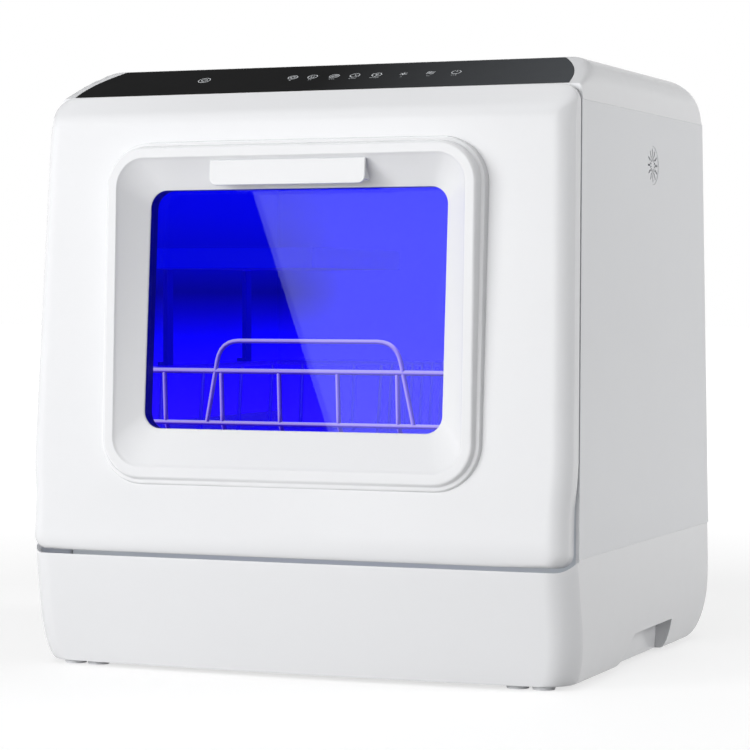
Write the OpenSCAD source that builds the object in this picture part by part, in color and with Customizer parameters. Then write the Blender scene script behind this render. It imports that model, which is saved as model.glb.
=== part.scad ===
// Countertop dishwasher: cabinet, drop-down door with a window, wire basket and wash machinery.
// Z is up and the front faces -Y. The origin is under the middle of the whole machine, on the counter.

/* [Cabinet] */
// Width of the cabinet at the seam between the base and the side panels
cabinet_w = 420; // [405:1:440]
// Height of the top face above the counter
cabinet_h = 442; // [436:1:456]
// Depth from the door seam to the rear face, at the lower seam
cabinet_d = 338; // [330:1:360]
// Inward lean of each side wall, in degrees
side_lean = 1.09; // [0.8:0.01:1.4]
// Backward lean of the door, in degrees
front_lean = 4.27; // [3.8:0.01:4.8]
// Height of the seam between the base and the side panels
base_h = 91; // [89:0.5:93]
// Height of the top cover above the side panels
cover_h = 34; // [32:1:38]
// Wall thickness of the casing mouldings
casing_t = 2.5; // [2:0.1:3]
// Radius of the long edges between the top face and the sides
top_edge_r = 16; // [10:1:20]
// Radius of the edge between the top face and the rear
top_rear_r = 32; // [24:1:36]

/* [Base] */
// Height of the front top edge of the base, under the door
base_front_h = 82; // [80:0.5:83]
// How far the base front stands ahead of the door seam
base_reach = 17.2; // [15:0.1:19]
// Lean of the base front under itself, in degrees
base_front_lean = 10.5; // [6:0.5:12]
// How far the sides tuck in at the bottom
base_side_tuck = 10; // [6:0.5:14]
// How far the rear tucks in at the bottom
base_rear_tuck = 42; // [30:1:50]
// Radius of the upright front corners
base_corner_r = 20; // [12:1:24]
// Corner radius of the base at its rear
base_rear_r = 3; // [2:0.5:8]
// Length of each hand pocket along its upper edge
pocket_len = 98; // [80:1:110]
// Height of each hand pocket above the bottom of the base
pocket_h = 22; // [18:1:26]
// Depth of each hand pocket at its upper edge
pocket_depth = 12; // [8:1:16]
// Height of the feet
foot_h = 3; // [2.5:0.5:6]
// Diameter of each foot
foot_d = 17; // [12:1:20]
// Distance of the outer feet from the sides of the cabinet
foot_inset = 27; // [26:1:40]
// Distance between the two feet of a pair
foot_pair = 19; // [18:1:24]

/* [Door] */
// How far the door bulges ahead of the seam at its middle
door_reach = 28; // [26:0.5:30]
// How far the door front stands ahead of the seam near its sides
door_edge_reach = 21.5; // [19:0.5:23]
// Depth of the flat band on each side of the door
door_band = 8; // [6:0.5:10]
// Width of the rounding between the door front and its side bands
door_corner_w = 14; // [10:1:18]
// How far the top edge of the door rises above the side panels
door_rise = 10.5; // [9:0.5:12]
// How far the bottom edge of the door hangs below the lower seam
door_drop = 6; // [5:0.5:7]
// Length of the bevel along the top of the door
door_bevel = 19.4; // [14:0.2:24]
// Gap between the back of the door and the cabinet
door_gap = 3; // [2:0.5:4]
// Wall thickness of the outer door shell
door_t = 2.4; // [2:0.1:3]
// Radius of the upper corners of the door, seen from the front
door_top_r = 13; // [8:1:18]
// Radius of the lower corners of the door, seen from the front
door_low_r = 10; // [8:1:14]
// Opening angle of the door
door_open = 90; // [80:1:92]
// Height of the hinge axis above the lower seam, along the lean
hinge_up = 27; // [26:0.5:30]
// Distance of the hinge axis behind the door seam
hinge_back = 3; // [2:0.5:4]
// Diameter of the hinge pins
hinge_pin_d = 6; // [5:0.5:8]

/* [Window] */
// Width of the sloping sides between the glass and the ring
ring_side_band = 19; // [15:0.5:24]
// Height of the slope between the lower edge of the glass and the ring
ring_low_band = 27.9; // [24:0.1:32]
// Height of the slope between the upper edge of the glass and the ring
ring_top_band = 21.5; // [18:0.1:26]
// Corner radius of the visible glass
glass_r = 12.5; // [8:0.5:16]
// Thickness of each glass pane
glass_t = 3; // [2.5:0.1:4]
// Distance of the outer glass ahead of the door seam
glass_reach = 18.5; // [17:0.5:20]
// Distance from the side of the cabinet to the inner edge of the raised ring
ring_inset = 76; // [72:1:84]
// Height of the inner lower edge of the ring above the lower seam
ring_low = 56.4; // [52:0.1:60]
// Distance from the inner upper edge of the ring to the top of the door
ring_top_gap = 50.6; // [46:0.1:56]
// Inner corner radius of the ring
ring_r = 21; // [14:0.5:26]
// Reach of the ring ahead of the seam at its lower edge
ring_reach_low = 31.4; // [30:0.1:34]
// Reach of the ring ahead of the seam at its upper edge
ring_reach_high = 39; // [36:0.1:42]
// Width of the front face of the ring
ring_face = 8; // [6:0.5:10]
// Width of the handle tab
handle_w = 120; // [100:1:130]
// Height of the handle tab
handle_h = 18; // [14:0.5:22]
// Thickness of the handle tab
handle_t = 2.6; // [2:0.1:4]

/* [Control strip] */
// Distance of each end of the strip from the side of the cabinet, at the front edge
strip_inset = 16.7; // [14:0.1:22]
// How much each end of the strip draws in towards the rear
strip_taper = 18.3; // [10:0.1:26]
// Thickness of the strip
strip_t = 2; // [1.5:0.1:3]

/* [Tub and basket] */
// Space between each side of the cabinet and the inside of the tub
tub_side_gap = 60; // [58:1:64]
// Inside floor height of the tub above the counter
tub_floor = 112; // [108:1:116]
// Distance of the tub's ceiling below the top of the side panels
tub_roof_gap = 24; // [22:1:28]
// Distance of the tub's inner rear wall ahead of the rear face
tub_rear_gap = 36; // [30:1:44]
// Height of the lower edge of the tub's mouth above the lower seam
open_low = 36; // [35:0.5:38]
// Wall thickness of the tub
tub_t = 2; // [1.5:0.1:2.5]
// Diameter of the basket wire
wire_d = 3.4; // [2.8:0.1:4]
// Height of the basket floor wires above the counter
basket_floor = 166; // [164:1:172]
// Height of the basket rim above the counter
basket_rim = 217; // [210:1:224]
// Space between each side of the tub and the rim of the basket
basket_side_gap = 12; // [11:0.5:16]
// How far the basket comes out when the door is fully open
basket_travel = 100; // [60:1:105]

/* [Hidden] */

// Fineness of exact round shapes
$fn = 48;
// Points in each rounded corner of a lofted outline
arc_n = 6;
// Points along each bowed front edge
bow_n = 10;
// Radial clearance of a pin in its running hole
run_gap = 0.05;
// Gap between pieces that stay clear of each other
seat_gap = 0.3;

half_w = cabinet_w / 2;
side_h = cabinet_h - cover_h;
side_slope = tan(side_lean);
front_slope = tan(front_lean);
// Places the whole machine evenly about the origin, front to rear
seam_y0 = (door_reach * cos(front_lean) - cabinet_d) / 2;
rear_y = seam_y0 + cabinet_d;
strip_slope = 24.2;
door_top = (side_h + door_rise - base_h) / cos(front_lean);
ring_w = cabinet_w - 2 * ring_inset;
ring_high = door_top - ring_top_gap;
glass_w = ring_w - 2 * ring_side_band;
glass_low = ring_low + ring_low_band;
glass_high = ring_high - ring_top_band;
strip_w = cabinet_w - 2 * strip_inset;
strip_rear_w = strip_w - 2 * strip_taper;
foot_span = cabinet_w - 2 * foot_inset;
tub_w = cabinet_w - 2 * tub_side_gap;
tub_top = side_h - tub_roof_gap;
open_high = (tub_top - base_h) / cos(front_lean) - 5.8;
basket_w = tub_w - 2 * basket_side_gap;
// Height of the latch above the lower seam, along the lean
strike_z = door_top - 21.4;
// Places of the hinge arms and of the edge of the door liner, either side of the middle
arm_x = half_w - 20;
liner_w = arm_x - 10;
// Top rear edge of the door in world coordinates
lip_y = seam_y0 + door_top * sin(front_lean);
lip_z = base_h + door_top * cos(front_lean);
strip_y0 = lip_y + door_gap;
strip_z0 = lip_z + 0.7;
strip_len = (cabinet_h - strip_z0) / sin(strip_slope);
strip_y1 = strip_y0 + strip_len * cos(strip_slope);
hinge_y = seam_y0 + hinge_back * cos(front_lean) + hinge_up * sin(front_lean);
hinge_z = base_h - hinge_back * sin(front_lean) + hinge_up * cos(front_lean);

// Half width of the cabinet at height z
function half_at(z) = half_w - (z - base_h) * side_slope;
// Y of the door seam at height z
function seam_at(z) = seam_y0 + (z - base_h) * front_slope;
// Share of a quarter ellipse's depth used up after t of its length
function tuck(t) = 1 - sqrt(max(0, 1 - min(1, max(0, t)) ^ 2));

// Closed skin through rings of points, each counterclockwise as seen from the last ring
module loft(rings) {
    n = len(rings[0]);
    m = len(rings);
    points = [for (ring = rings) for (p = ring) p];
    sides = [for (i = [0:m - 2]) for (j = [0:n - 1])
        [(i + 1) * n + j, (i + 1) * n + (j + 1) % n, i * n + (j + 1) % n, i * n + j]];
    caps = [[for (j = [0:n - 1]) j], [for (j = [0:n - 1]) m * n - 1 - j]];
    polyhedron(points, concat(sides, caps));
}

// Closed frame swept through rings, the last of which meets the first
module loft_frame(rings) {
    n = len(rings[0]);
    m = len(rings);
    points = [for (ring = rings) for (p = ring) p];
    polyhedron(points, [for (i = [0:m - 1]) for (j = [0:n - 1])
        [((i + 1) % m) * n + j, ((i + 1) % m) * n + (j + 1) % n, i * n + (j + 1) % n, i * n + j]]);
}

// Quarter arc about c from angle a, with radii rx and ry
function arc(c, rx, ry, a, n = arc_n) =
    [for (i = [0:n]) [c[0] + rx * cos(a + 90 * i / n), c[1] + ry * sin(a + 90 * i / n)]];

// Rounded rectangle from x0,y0 to x1,y1 with corner radius r, as points
function rounded(x0, y0, x1, y1, r) = concat(
    arc([x1 - r, y1 - r], r, r, 0), arc([x0 + r, y1 - r], r, r, 90),
    arc([x0 + r, y0 + r], r, r, 180), arc([x1 - r, y0 + r], r, r, 270));

// Moves the drawing onto the leaning plane of the door seam: x across, z up the lean, -y outwards
module leaning() {
    translate([0, seam_y0, base_h]) rotate([-front_lean, 0, 0]) children();
}

// Moves the drawing onto the slope of the control strip: x across, y up the slope, z out of it
module on_strip() {
    translate([0, strip_y0, strip_z0]) rotate([strip_slope, 0, 0]) children();
}

// Extrudes a drawing of x and z along y, from y0 to y1
module upright(y0, y1) {
    translate([0, y1, 0]) rotate([90, 0, 0]) linear_extrude(y1 - y0) children();
}

// Flat shape of x and z with square upper corners and round lower ones
module low_round(w, z0, z1, r) {
    translate([-w, z0 + r]) square([2 * w, z1 - z0 - r]);
    translate([r - w, z0]) square([2 * (w - r), z1 - z0]);
    for (s = [-1, 1]) translate([s * (w - r), z0 + r]) circle(r);
}

// Flat rounded rectangle of x and z
module pane(w, z0, z1, r) {
    translate([-w, z0 + r]) square([2 * w, z1 - z0 - 2 * r]);
    translate([r - w, z0]) square([2 * (w - r), z1 - z0]);
    for (s = [-1, 1]) for (z = [z0 + r, z1 - r]) translate([s * (w - r), z]) circle(r);
}

// Box from one corner to the opposite corner
module box(lo, hi) {
    translate(lo) cube(hi - lo);
}

// Round bar between two points
module bar(a, b, d) {
    v = b - a;
    length = norm(v);
    translate(a) rotate([0, acos(v[2] / length), atan2(v[1], v[0])]) cylinder(h = length, d = d, $fn = 16);
}

// Round bar through a list of points, with a slightly fuller ball at each bend
module wire(points, d) {
    for (i = [0:len(points) - 2]) bar(points[i], points[i + 1], d);
    if (len(points) > 2) for (i = [1:len(points) - 2]) translate(points[i]) sphere(d = d * 1.1, $fn = 16);
}

function unit(v) = v / norm(v);
// Point at share t between b and c of a smooth curve through a, b, c, d
function smooth_at(a, b, c, d, t) = 0.5 * (2 * b + (c - a) * t
    + (2 * a - 5 * b + 4 * c - d) * t ^ 2 + (3 * b - a - 3 * c + d) * t ^ 3);
// Smooth hose of 12 sides through hand-set points
module hose(points, d) {
    m = len(points) - 1;
    path = concat([for (i = [0:m - 1], k = [0:4])
        smooth_at(points[max(0, i - 1)], points[i], points[i + 1], points[min(m, i + 2)], k / 5)], [points[m]]);
    n = len(path) - 1;
    loft([for (i = [0:n]) let (t = unit(path[min(n, i + 1)] - path[max(0, i - 1)]),
        u = unit(cross(t, [0.3, 1, 0.2])), v = cross(t, u))
        [for (k = [0:11]) path[i] + d / 2 * (cos(30 * k) * u + sin(30 * k) * v)]]);
}

// ---- Casing ----

base_tuck_h = 44;
base_rear_h = 61;
base_floor_z = foot_h;
bow = door_reach - door_edge_reach;
base_front_y = seam_y0 - base_reach;
float_x = half_w - 60;
float_post_r = 3;

// Half width of the base at height z
function base_half(z) = half_w + (base_h - z) * side_slope
    - base_side_tuck * tuck((base_tuck_h + foot_h - z) / base_tuck_h);
// Rear of the base at height z
function base_rear(z) = rear_y - base_rear_tuck * tuck((base_rear_h + foot_h - z) / base_rear_h);
// Front of the base at height z, near its sides
function base_front(z) = base_front_y + max(0, base_front_h - z) * tan(base_front_lean);

// Outline of the base at height z, drawn in by inset
function base_ring(z, inset) =
    let (w = base_half(z) - inset, y0 = base_front(z) + inset, y1 = base_rear(z) - inset, r = base_corner_r)
    [for (p = concat(
        arc([w - base_rear_r, y1 - base_rear_r], base_rear_r, 6, 0),
        arc([base_rear_r - w, y1 - base_rear_r], base_rear_r, 6, 90),
        arc([r - w, y0 + r], r, r, 180),
        [for (i = [1:bow_n - 1]) [(w - r) * (2 * i / bow_n - 1), y0]],
        arc([w - r, y0 + r], r, r, 270)))
        [p[0], p[1] < y0 + r + 0.01 ? p[1] - bow * (1 - (p[0] / w) ^ 2) : p[1], z]];

base_levels = [0, 0.04, 0.12, 0.25, 0.42, 0.65, 1];
function base_level(t) = base_floor_z + t * base_rear_h;

module base_solid(inset, z_low) {
    loft(concat([base_ring(z_low, inset)],
        [for (t = base_levels) if (base_level(t) > z_low + 0.5) base_ring(base_level(t), inset)],
        [base_ring(base_front_h, inset), base_ring(base_h + inset, inset)]));
}

// Wedge of a hand pocket, open downwards and outwards
module pocket_space(side, grow) {
    y_mid = 30;
    top = base_floor_z + pocket_h + grow;
    depth = base_half(top) - pocket_depth - grow;
    mirror([side < 0 ? 1 : 0, 0, 0])
        translate([depth, 0, 0]) rotate([90, 0, 90]) linear_extrude(40)
            polygon([[y_mid - pocket_len / 2 - grow, top], [y_mid + pocket_len / 2 + grow, top],
                [y_mid + pocket_len / 2 - 6 + grow, base_floor_z - 1 - grow],
                [y_mid - pocket_len / 2 - 26 - grow, base_floor_z - 1 - grow]]);
}

module base_housing() color("white") {
    translate([float_x, 0, base_floor_z + casing_t - 1]) cylinder(h = 24, r = float_post_r);
    difference() {
        union() {
            difference() {
                base_solid(0, base_floor_z);
                base_solid(casing_t, base_floor_z + casing_t);
            }
            intersection() {
                base_solid(0.4, base_floor_z);
                union() for (s = [-1, 1]) pocket_space(s, casing_t);
            }
        }
        for (s = [-1, 1]) pocket_space(s, 0);
        leaning() upright(-60, door_gap)
            low_round(half_w + 1.5, base_front_h - base_h, 60, door_low_r + 3.5);
    }
}

// Trough behind the base front that the foot of the door swings into
well_z = base_front_h - 10;
well_y0 = base_front(well_z - tub_t) + casing_t + seat_gap;
well_y1 = hinge_y + 42;
well_top = base_h + open_low - tub_t;
well_half = half_w - casing_t - 2;
module door_well() color("gainsboro") difference() {
    union() {
        box([-well_half, well_y0, well_z - tub_t], [well_half, well_y1, well_z]);
        box([-well_half, well_y1 - tub_t, well_z - tub_t], [well_half, well_y1, well_top]);
        box([4 - arm_x, seam_at(well_top) + frame_front + 3, well_top - tub_t], [arm_x - 4, well_y1, well_top]);
    }
    for (s = [-1, 1]) translate([s * (half_w - 10), 0, 0])
        box([-8, well_y0 - 20, 0], [8, well_y0 + base_corner_r + 2, well_z + 1]);
}

module feet() color("dimgray")
    for (sx = [-1, 1], y = [seam_y0 + 8, rear_y - 62], k = [0, 1])
        translate([sx * (foot_span / 2 - k * foot_pair), y, 0]) cylinder(h = foot_h, d1 = foot_d - 1.5, d2 = foot_d);

// Keeps the lower inner edge of a leaning side sheet clear of the base
seat_lift = 0.06;
// One leaning side sheet with a flange along its front
module side_sheet(side) {
    mirror([side < 0 ? 1 : 0, 0, 0]) difference() {
        translate([half_w, 0, base_h]) rotate([0, -side_lean, 0]) rotate([90, 0, -90])
            linear_extrude(casing_t) polygon([
                [-rear_y, seat_lift], [-rear_y, side_h - base_h],
                [-seam_at(side_h) - door_gap, side_h - base_h], [-seam_at(base_h) - door_gap, seat_lift]]);
        if (side > 0) translate([half_w - 20, vent_y, vent_z]) rotate([0, 90, 0]) cylinder(h = 40, d = vent_d);
    }
}
vent_d = 29;
vent_y = 42;
vent_z = side_h - 38.4;
module side_panel_left() color("white") side_sheet(-1);
module side_panel_right() color("whitesmoke") side_sheet(1);

// Flat round grille with long and short radial slots
module vent_grille() color("dimgray")
    translate([half_at(vent_z) - casing_t, vent_y, vent_z]) rotate([0, 90 - side_lean, 0]) difference() {
        union() {
            cylinder(h = casing_t - 0.3, d = vent_d - 0.4);
            translate([0, 0, -1.5]) cylinder(h = 1.5, d = vent_d + 6);
        }
        for (i = [0:11]) rotate(i * 30) {
            translate([vent_d * 0.33, 0, -2]) linear_extrude(6) square([vent_d * 0.2, 1.6], center = true);
            rotate(15) translate([vent_d * 0.17, 0, -2]) linear_extrude(6) square([vent_d * 0.12, 1.2], center = true);
        }
    }

// Ports in the rear: X, height, radius of the hole
port_z = base_h + 35;
inlet_x = 60 - half_w;
drain_x = inlet_x + 42;
inlet_r = 13.5;
drain_r = 10.5;
power_x = half_w - 70;
power_w = 30;
power_h = 24;
screw_x = half_w - 25;
screw_rows = [base_h + 20, side_h - 18];
module rear_panel() color("white") difference() {
    translate([0, rear_y, base_h]) rotate([90, 0, 0]) linear_extrude(casing_t)
        polygon([for (p = [[-1, base_h], [1, base_h], [1, side_h], [-1, side_h]])
            [p[0] * (half_at(p[1]) - casing_t - seat_gap), p[1] - base_h]]);
    for (p = [[inlet_x, inlet_r], [drain_x, drain_r]])
        translate([p[0], rear_y + 1, port_z]) rotate([90, 0, 0]) cylinder(h = casing_t + 2, r = p[1]);
    box([power_x - power_w / 2, rear_y - 9, port_z - power_h / 2], [power_x + power_w / 2, rear_y + 9, port_z + power_h / 2]);
    for (s = [-1, 1], z = screw_rows) translate([s * screw_x, rear_y, z]) rotate([90, 0, 0]) {
        translate([0, 0, -1]) cylinder(h = 2.2, d = 6.6);
        cylinder(h = 6, d = 3.4);
    }
    for (i = [0:8]) translate([0, rear_y, side_h - 108 + i * 9]) box([-40, -6, 0], [40, 6, 3.5]);
}

module casing_screws() color("silver")
    for (s = [-1, 1], z = screw_rows) translate([s * screw_x, rear_y, z]) rotate([90, 0, 0]) difference() {
        union() {
            translate([0, 0, 0.2]) cylinder(h = 1, d = 6);
            translate([0, 0, 0.2]) cylinder(h = 8, d = 3.2);
        }
        for (a = [0, 90]) rotate(a) translate([-1.8, -0.4, -0.6]) cube([3.6, 0.8, 1.4]);
    }

// Side view of the top cover, as a prism between +-w, drawn in by inset
module cover_side(w, inset) {
    z0 = side_h - 1 * sign(inset);
    rotate([90, 0, 90]) translate([0, 0, -w]) linear_extrude(2 * w)
        polygon(concat(
            [[seam_at(side_h) + door_gap + inset, z0], [strip_y0 + inset, strip_z0 - inset * 0.8],
                [strip_y1 + inset * 0.2, cabinet_h - inset]],
            [for (p = arc([rear_y - top_rear_r, cabinet_h - top_rear_r], top_rear_r - inset, top_rear_r - inset, 90, 12))
                [2 * (rear_y - top_rear_r) - p[0], p[1]]],
            [[rear_y - inset, z0]]));
}

// Front view of the top cover, as a prism from front to rear
module cover_front(inset) {
    w0 = half_at(side_h) - inset;
    w1 = half_at(cabinet_h) - inset;
    z0 = side_h - 1 * sign(inset);
    r = top_edge_r - inset;
    upright(-220, 220) polygon(concat(
        [[-w0, z0], [w0, z0]],
        arc([w1 - r, cabinet_h - top_edge_r], r, r, 0, 8), arc([r - w1, cabinet_h - top_edge_r], r, r, 90, 8)));
}

fill_x = 90 - half_w;
fill_y = 96;
fill_d = 62;
module top_cover() color("white") difference() {
    intersection() {
        cover_side(half_w, 0);
        cover_front(0);
    }
    intersection() {
        cover_side(half_w, casing_t);
        cover_front(casing_t);
    }
    on_strip() {
        translate([0, 0, -strip_t]) linear_extrude(6) strip_outline(0.15);
        box([-board_w / 2 - 10, board_y - 4, -8], [board_w / 2 + 10, board_y + 34, 2]);
    }
    translate([fill_x, fill_y, cabinet_h - 8]) cylinder(h = 20, d = fill_d);
}

// Outline of the control strip on the slope, grown by g
module strip_outline(g) {
    a = strip_w / 2;
    b = strip_rear_w / 2;
    side = [for (i = [0:6]) [a - (a - b) * (i / 6) ^ 2.2 + g, 1.2 - g + (strip_len - 2 + 2 * g) * i / 6]];
    polygon(concat(side, [for (i = [6:-1:0]) [-side[i][0], side[i][1]]]));
}

module control_strip() color([0.16, 0.17, 0.18])
    on_strip() translate([0, 0, -strip_t]) linear_extrude(strip_t + 0.2) strip_outline(0);

board_w = tub_w;
board_y = 14;
board_z = -strip_t - 4.6;
module control_board() color("darkgreen") on_strip() {
    box([-board_w / 2, board_y, board_z], [board_w / 2, board_y + 30, board_z + 1.6]);
    for (i = [0:8]) translate([i == 0 ? -99 : i * 18 - 46, board_y + 12, board_z + 1.6]) cylinder(h = 2.2, d = 6);
    for (s = [-1, 1]) translate([s * (board_w / 2 - 10), board_y + 15, board_z + 1.6]) cylinder(h = 3, d = 5);
}

// Frame behind the door that carries the tub
frame_front = 9.4;
module front_frame() color("whitesmoke") leaning() difference() {
    upright(frame_front, frame_front + casing_t) polygon([for (p = [[-1, open_low - 2], [1, open_low - 2], [1, door_top - 6.4], [-1, door_top - 6.4]])
        [p[0] * (half_at(base_h + p[1]) - casing_t - 1), p[1]]]);
    upright(0, 30) pane(tub_w / 2 + tub_t + 0.2, -20, open_high + tub_t + 8, 2);
    upright(0, 30) pane(14, strike_z - 7, strike_z + 7, 2);
}

// ---- Door ----

// The foot of the door, below its hinge axis, is narrow enough to swing in between the side panels
foot_clear = casing_t + 0.5;
foot_blend = 36;
function foot_share(z) = let (t = min(1, max(0, (hinge_up + foot_blend - z) / foot_blend))) t * t * (3 - 2 * t);
// Outline of the door at height z up the lean
function door_half(z) = half_w - z * side_slope - foot_clear * foot_share(z)
    - door_top_r * tuck((z - door_top + door_top_r) / door_top_r)
    - door_low_r * tuck((door_low_r - door_drop - z) / door_low_r);
// Share of the full depth that the door keeps at height z
function door_depth(z) = z > door_top - door_bevel
    ? max(0.05, 0.86 * (door_top - z) / door_bevel + 0.02)
    : 1 - 0.2 * tuck((18 - door_drop - z) / 18);
// Half of the door's outline, from its back edge round to the middle of its front
function door_side(z, inset) =
    let (w = door_half(z) - inset, c = door_corner_w, flat = w - c)
    concat([[w, inset > 0 ? 1 : 0]],
        [for (p = concat(
            arc([flat, -door_band], c, door_band - door_edge_reach, 0),
            [for (j = [1:5]) let (x = flat * (1 - j / 5)) [x, -door_edge_reach - bow * (1 - (x / flat) ^ 2)]]))
            [p[0], min(-0.1, p[1] * door_depth(z) + inset)]]);
function door_ring(z, inset) =
    let (half = door_side(z, inset), n = len(half))
    concat([for (p = half) [-p[0], p[1], z]], [for (i = [n - 2:-1:0]) [half[i][0], half[i][1], z]]);

// Heights of the door's rings, closer together where it rounds off
door_levels = concat(
    [for (t = [0, 0.03, 0.12, 0.3, 0.6, 1]) 18 * t - door_drop],
    [for (t = [0, 0.25, 0.5, 0.75, 1]) hinge_up + foot_blend * t],
    [for (t = [1, 0.94, 0.75, 0.5, 0.3, 0.14, 0.04, 0]) door_top - door_bevel * t]);

module door_solid(inset) {
    loft([for (z = door_levels) if (z > inset - door_drop && z < door_top - inset * 0.6) door_ring(z, inset)]);
}

window_mid = (glass_low + glass_high) / 2;
glass_half_h = (glass_high - glass_low) / 2;

// Outline of the opening for the window ring, measured out from the ring's inner edge
ring_foot = ring_face + 5 + seat_gap;
module door_shell() color("white") leaning() difference() {
    door_solid(0);
    door_solid(door_t);
    upright(-60, 10) pane(ring_w / 2 + ring_foot, ring_low - ring_foot, ring_high + ring_foot, ring_r + ring_foot);
    for (s = [-1, 1]) box([s * arm_x - 5, -12, -door_drop - 1], [s * arm_x + 5, 1, hinge_up + 8]);
}

// Reach of the ring ahead of the seam at height z up the lean
function ring_reach(z) =
    ring_reach_low + (ring_reach_high - ring_reach_low) * (z - ring_low) / (ring_high - ring_low);
// Reach of the door's own face ahead of the seam, at x across and z up the lean
function face_reach(x, z) = door_edge_reach + bow * (1 - (x / (door_half(z) - door_corner_w)) ^ 2);
// Ring of points round the window: t runs from the glass (0) to the ring's inner edge (1), grown by out
function window_line(t, out) =
    let (w = glass_w / 2 + (ring_w - glass_w) / 2 * t + out, z0 = glass_low + (ring_low - glass_low) * t - out,
        z1 = glass_high + (ring_high - glass_high) * t + out, r = glass_r + (ring_r - glass_r) * t + out)
    rounded(-w, z0, w, z1, r);
// The same ring at one reach, moved by a share of the way to the reach of the ring's front
function window_ring(t, out, reach, share) =
    [for (p = window_line(t, out)) [p[0], -(reach + (ring_reach(p[1]) - reach) * share), p[1]]];
// The same ring outside the ring's front, at a share of the way from the door's face to the front
function window_step(out, share, lift = 0) =
    [for (p = window_line(1, out)) let (face = face_reach(p[0], p[1]))
        [p[0], -(face + (ring_reach(p[1]) - face) * share + lift), p[1]]];

module window_surround() color("white") leaning() loft_frame([
    window_ring(0, 0, glass_reach + seat_gap, 0),
    window_ring(0.04, 0, glass_reach + 1.6, 0),
    window_ring(0.94, 0, 0, 0.94),
    window_ring(1, 0.6, 0, 1),
    window_ring(1, ring_face - 1, 0, 1),
    window_step(ring_face, 0.9),
    window_step(ring_face + 1.5, 0.46),
    window_step(ring_face + 4, 0.4),
    window_step(ring_face + 5, 0, 0.4),
    window_step(ring_face + 5, 0, -2),
    window_ring(1, 5.6, 18, 0),
    window_ring(0.5, 3, glass_reach - 1, 0),
    window_ring(0, 9, glass_reach - glass_t, 0),
    window_ring(0, 7.4, glass_reach - glass_t, 0),
    window_ring(0, 7.4, glass_reach + seat_gap, 0)
]);

module door_glass() color([0.2, 0.3, 0.9, 0.35]) leaning()
    upright(-glass_reach, glass_t - glass_reach)
        pane(glass_w / 2 + 7, glass_low - 7, glass_high + 7, glass_r + 7);

liner_t = 2;
module inner_glass() color([0.2, 0.3, 0.9, 0.35]) leaning()
    upright(-liner_t - glass_t - seat_gap, -liner_t - seat_gap)
        pane(glass_w / 2 + 14, glass_low - 14, glass_high + 14, glass_r + 8);

module glass_seal() color("black") leaning() difference() {
    upright(glass_t - glass_reach, -liner_t - glass_t - seat_gap)
        pane(glass_w / 2 + 10, glass_low - 10, glass_high + 10, glass_r + 8);
    upright(-40, 10) pane(glass_w / 2 + 1, glass_low - 1, glass_high + 1, glass_r + 1);
}

wing_z0 = 44;
wing_z1 = door_top - 26;
door_screw_x = liner_w - 10;
door_screw_rows = [56, 170, door_top - 32.4];
module door_liner() color("gainsboro") leaning() difference() {
    union() {
        upright(-liner_t, 0) pane(liner_w, 0, door_top - 12, 8);
        for (s = [0, 1]) mirror([s, 0, 0]) upright(-liner_t, 0) polygon([[liner_w - 1, wing_z0],
            [door_half(wing_z0) - door_t - seat_gap, wing_z0], [door_half(wing_z1) - door_t - seat_gap, wing_z1],
            [liner_w - 1, wing_z1]]);
        upright(-liner_t - glass_t, -liner_t) difference() {
            pane(glass_w / 2 + 18, glass_low - 18, glass_high + 18, glass_r + 10);
            pane(glass_w / 2 + 14.3, glass_low - 14.3, glass_high + 14.3, glass_r + 8.3);
        }
    }
    upright(-40, 10) pane(glass_w / 2 + 4, glass_low - 4, glass_high + 4, glass_r + 4);
    upright(-40, 10) pane(9, strike_z - 8, strike_z + 8, 1);
    for (s = [-1, 1], z = door_screw_rows) translate([s * door_screw_x, 5, z]) rotate([90, 0, 0]) cylinder(h = 12, d = 3.2);
}

// Tab across the top of the window, to hook the fingers behind
module door_handle() color("white") leaning() {
    z1 = ring_high - 2 - seat_gap;
    z0 = z1 - handle_h;
    reach = ring_reach(z1) - 0.4;
    back = reach - handle_t;
    foot = glass_reach + 1.6;
    rise = (ring_high - glass_high) / (ring_reach(ring_high) - foot);
    web_z = z0 + 3;
    translate([0, handle_t - reach, 0]) upright(-handle_t, 0) low_round(handle_w / 2, z0, z1, 5);
    for (s = [-1, 1]) translate([s * (handle_w / 2 - 2.2) - 1.1, 0, 0]) rotate([90, 0, 90])
        linear_extrude(2.2) polygon([[-back, web_z], [-foot - (web_z - glass_high) / rise - 0.8, web_z],
            [-back, glass_high + (back - foot - 0.8) * rise]]);
}

bolt_y = 22;
bolt_r = 2.5;
bolt_travel = 6.5;
bolt_rest_gap = 1.3;
// Half width of the strike's square window for the lock bolt
strike_window = bolt_r + 0.7;
module latch_strike() color("silver") leaning() difference() {
    union() {
        upright(-liner_t - 1.6, -liner_t) pane(13, strike_z - 11, strike_z + 11, 2);
        box([-6, -liner_t, strike_z - 3], [6, bolt_y + 5, strike_z]);
    }
    box([-strike_window, bolt_y - strike_window, strike_z - 4], [strike_window, bolt_y + strike_window, strike_z + 1]);
}

module door_screws() color("silver") leaning()
    for (s = [-1, 1], z = door_screw_rows) translate([s * door_screw_x, 0.8, z]) rotate([90, 0, 0]) {
        cylinder(h = 0.8, d = 6);
        translate([0, 0, 0.8]) cylinder(h = liner_t, d = 3);
    }

arm_t = 3;
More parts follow.
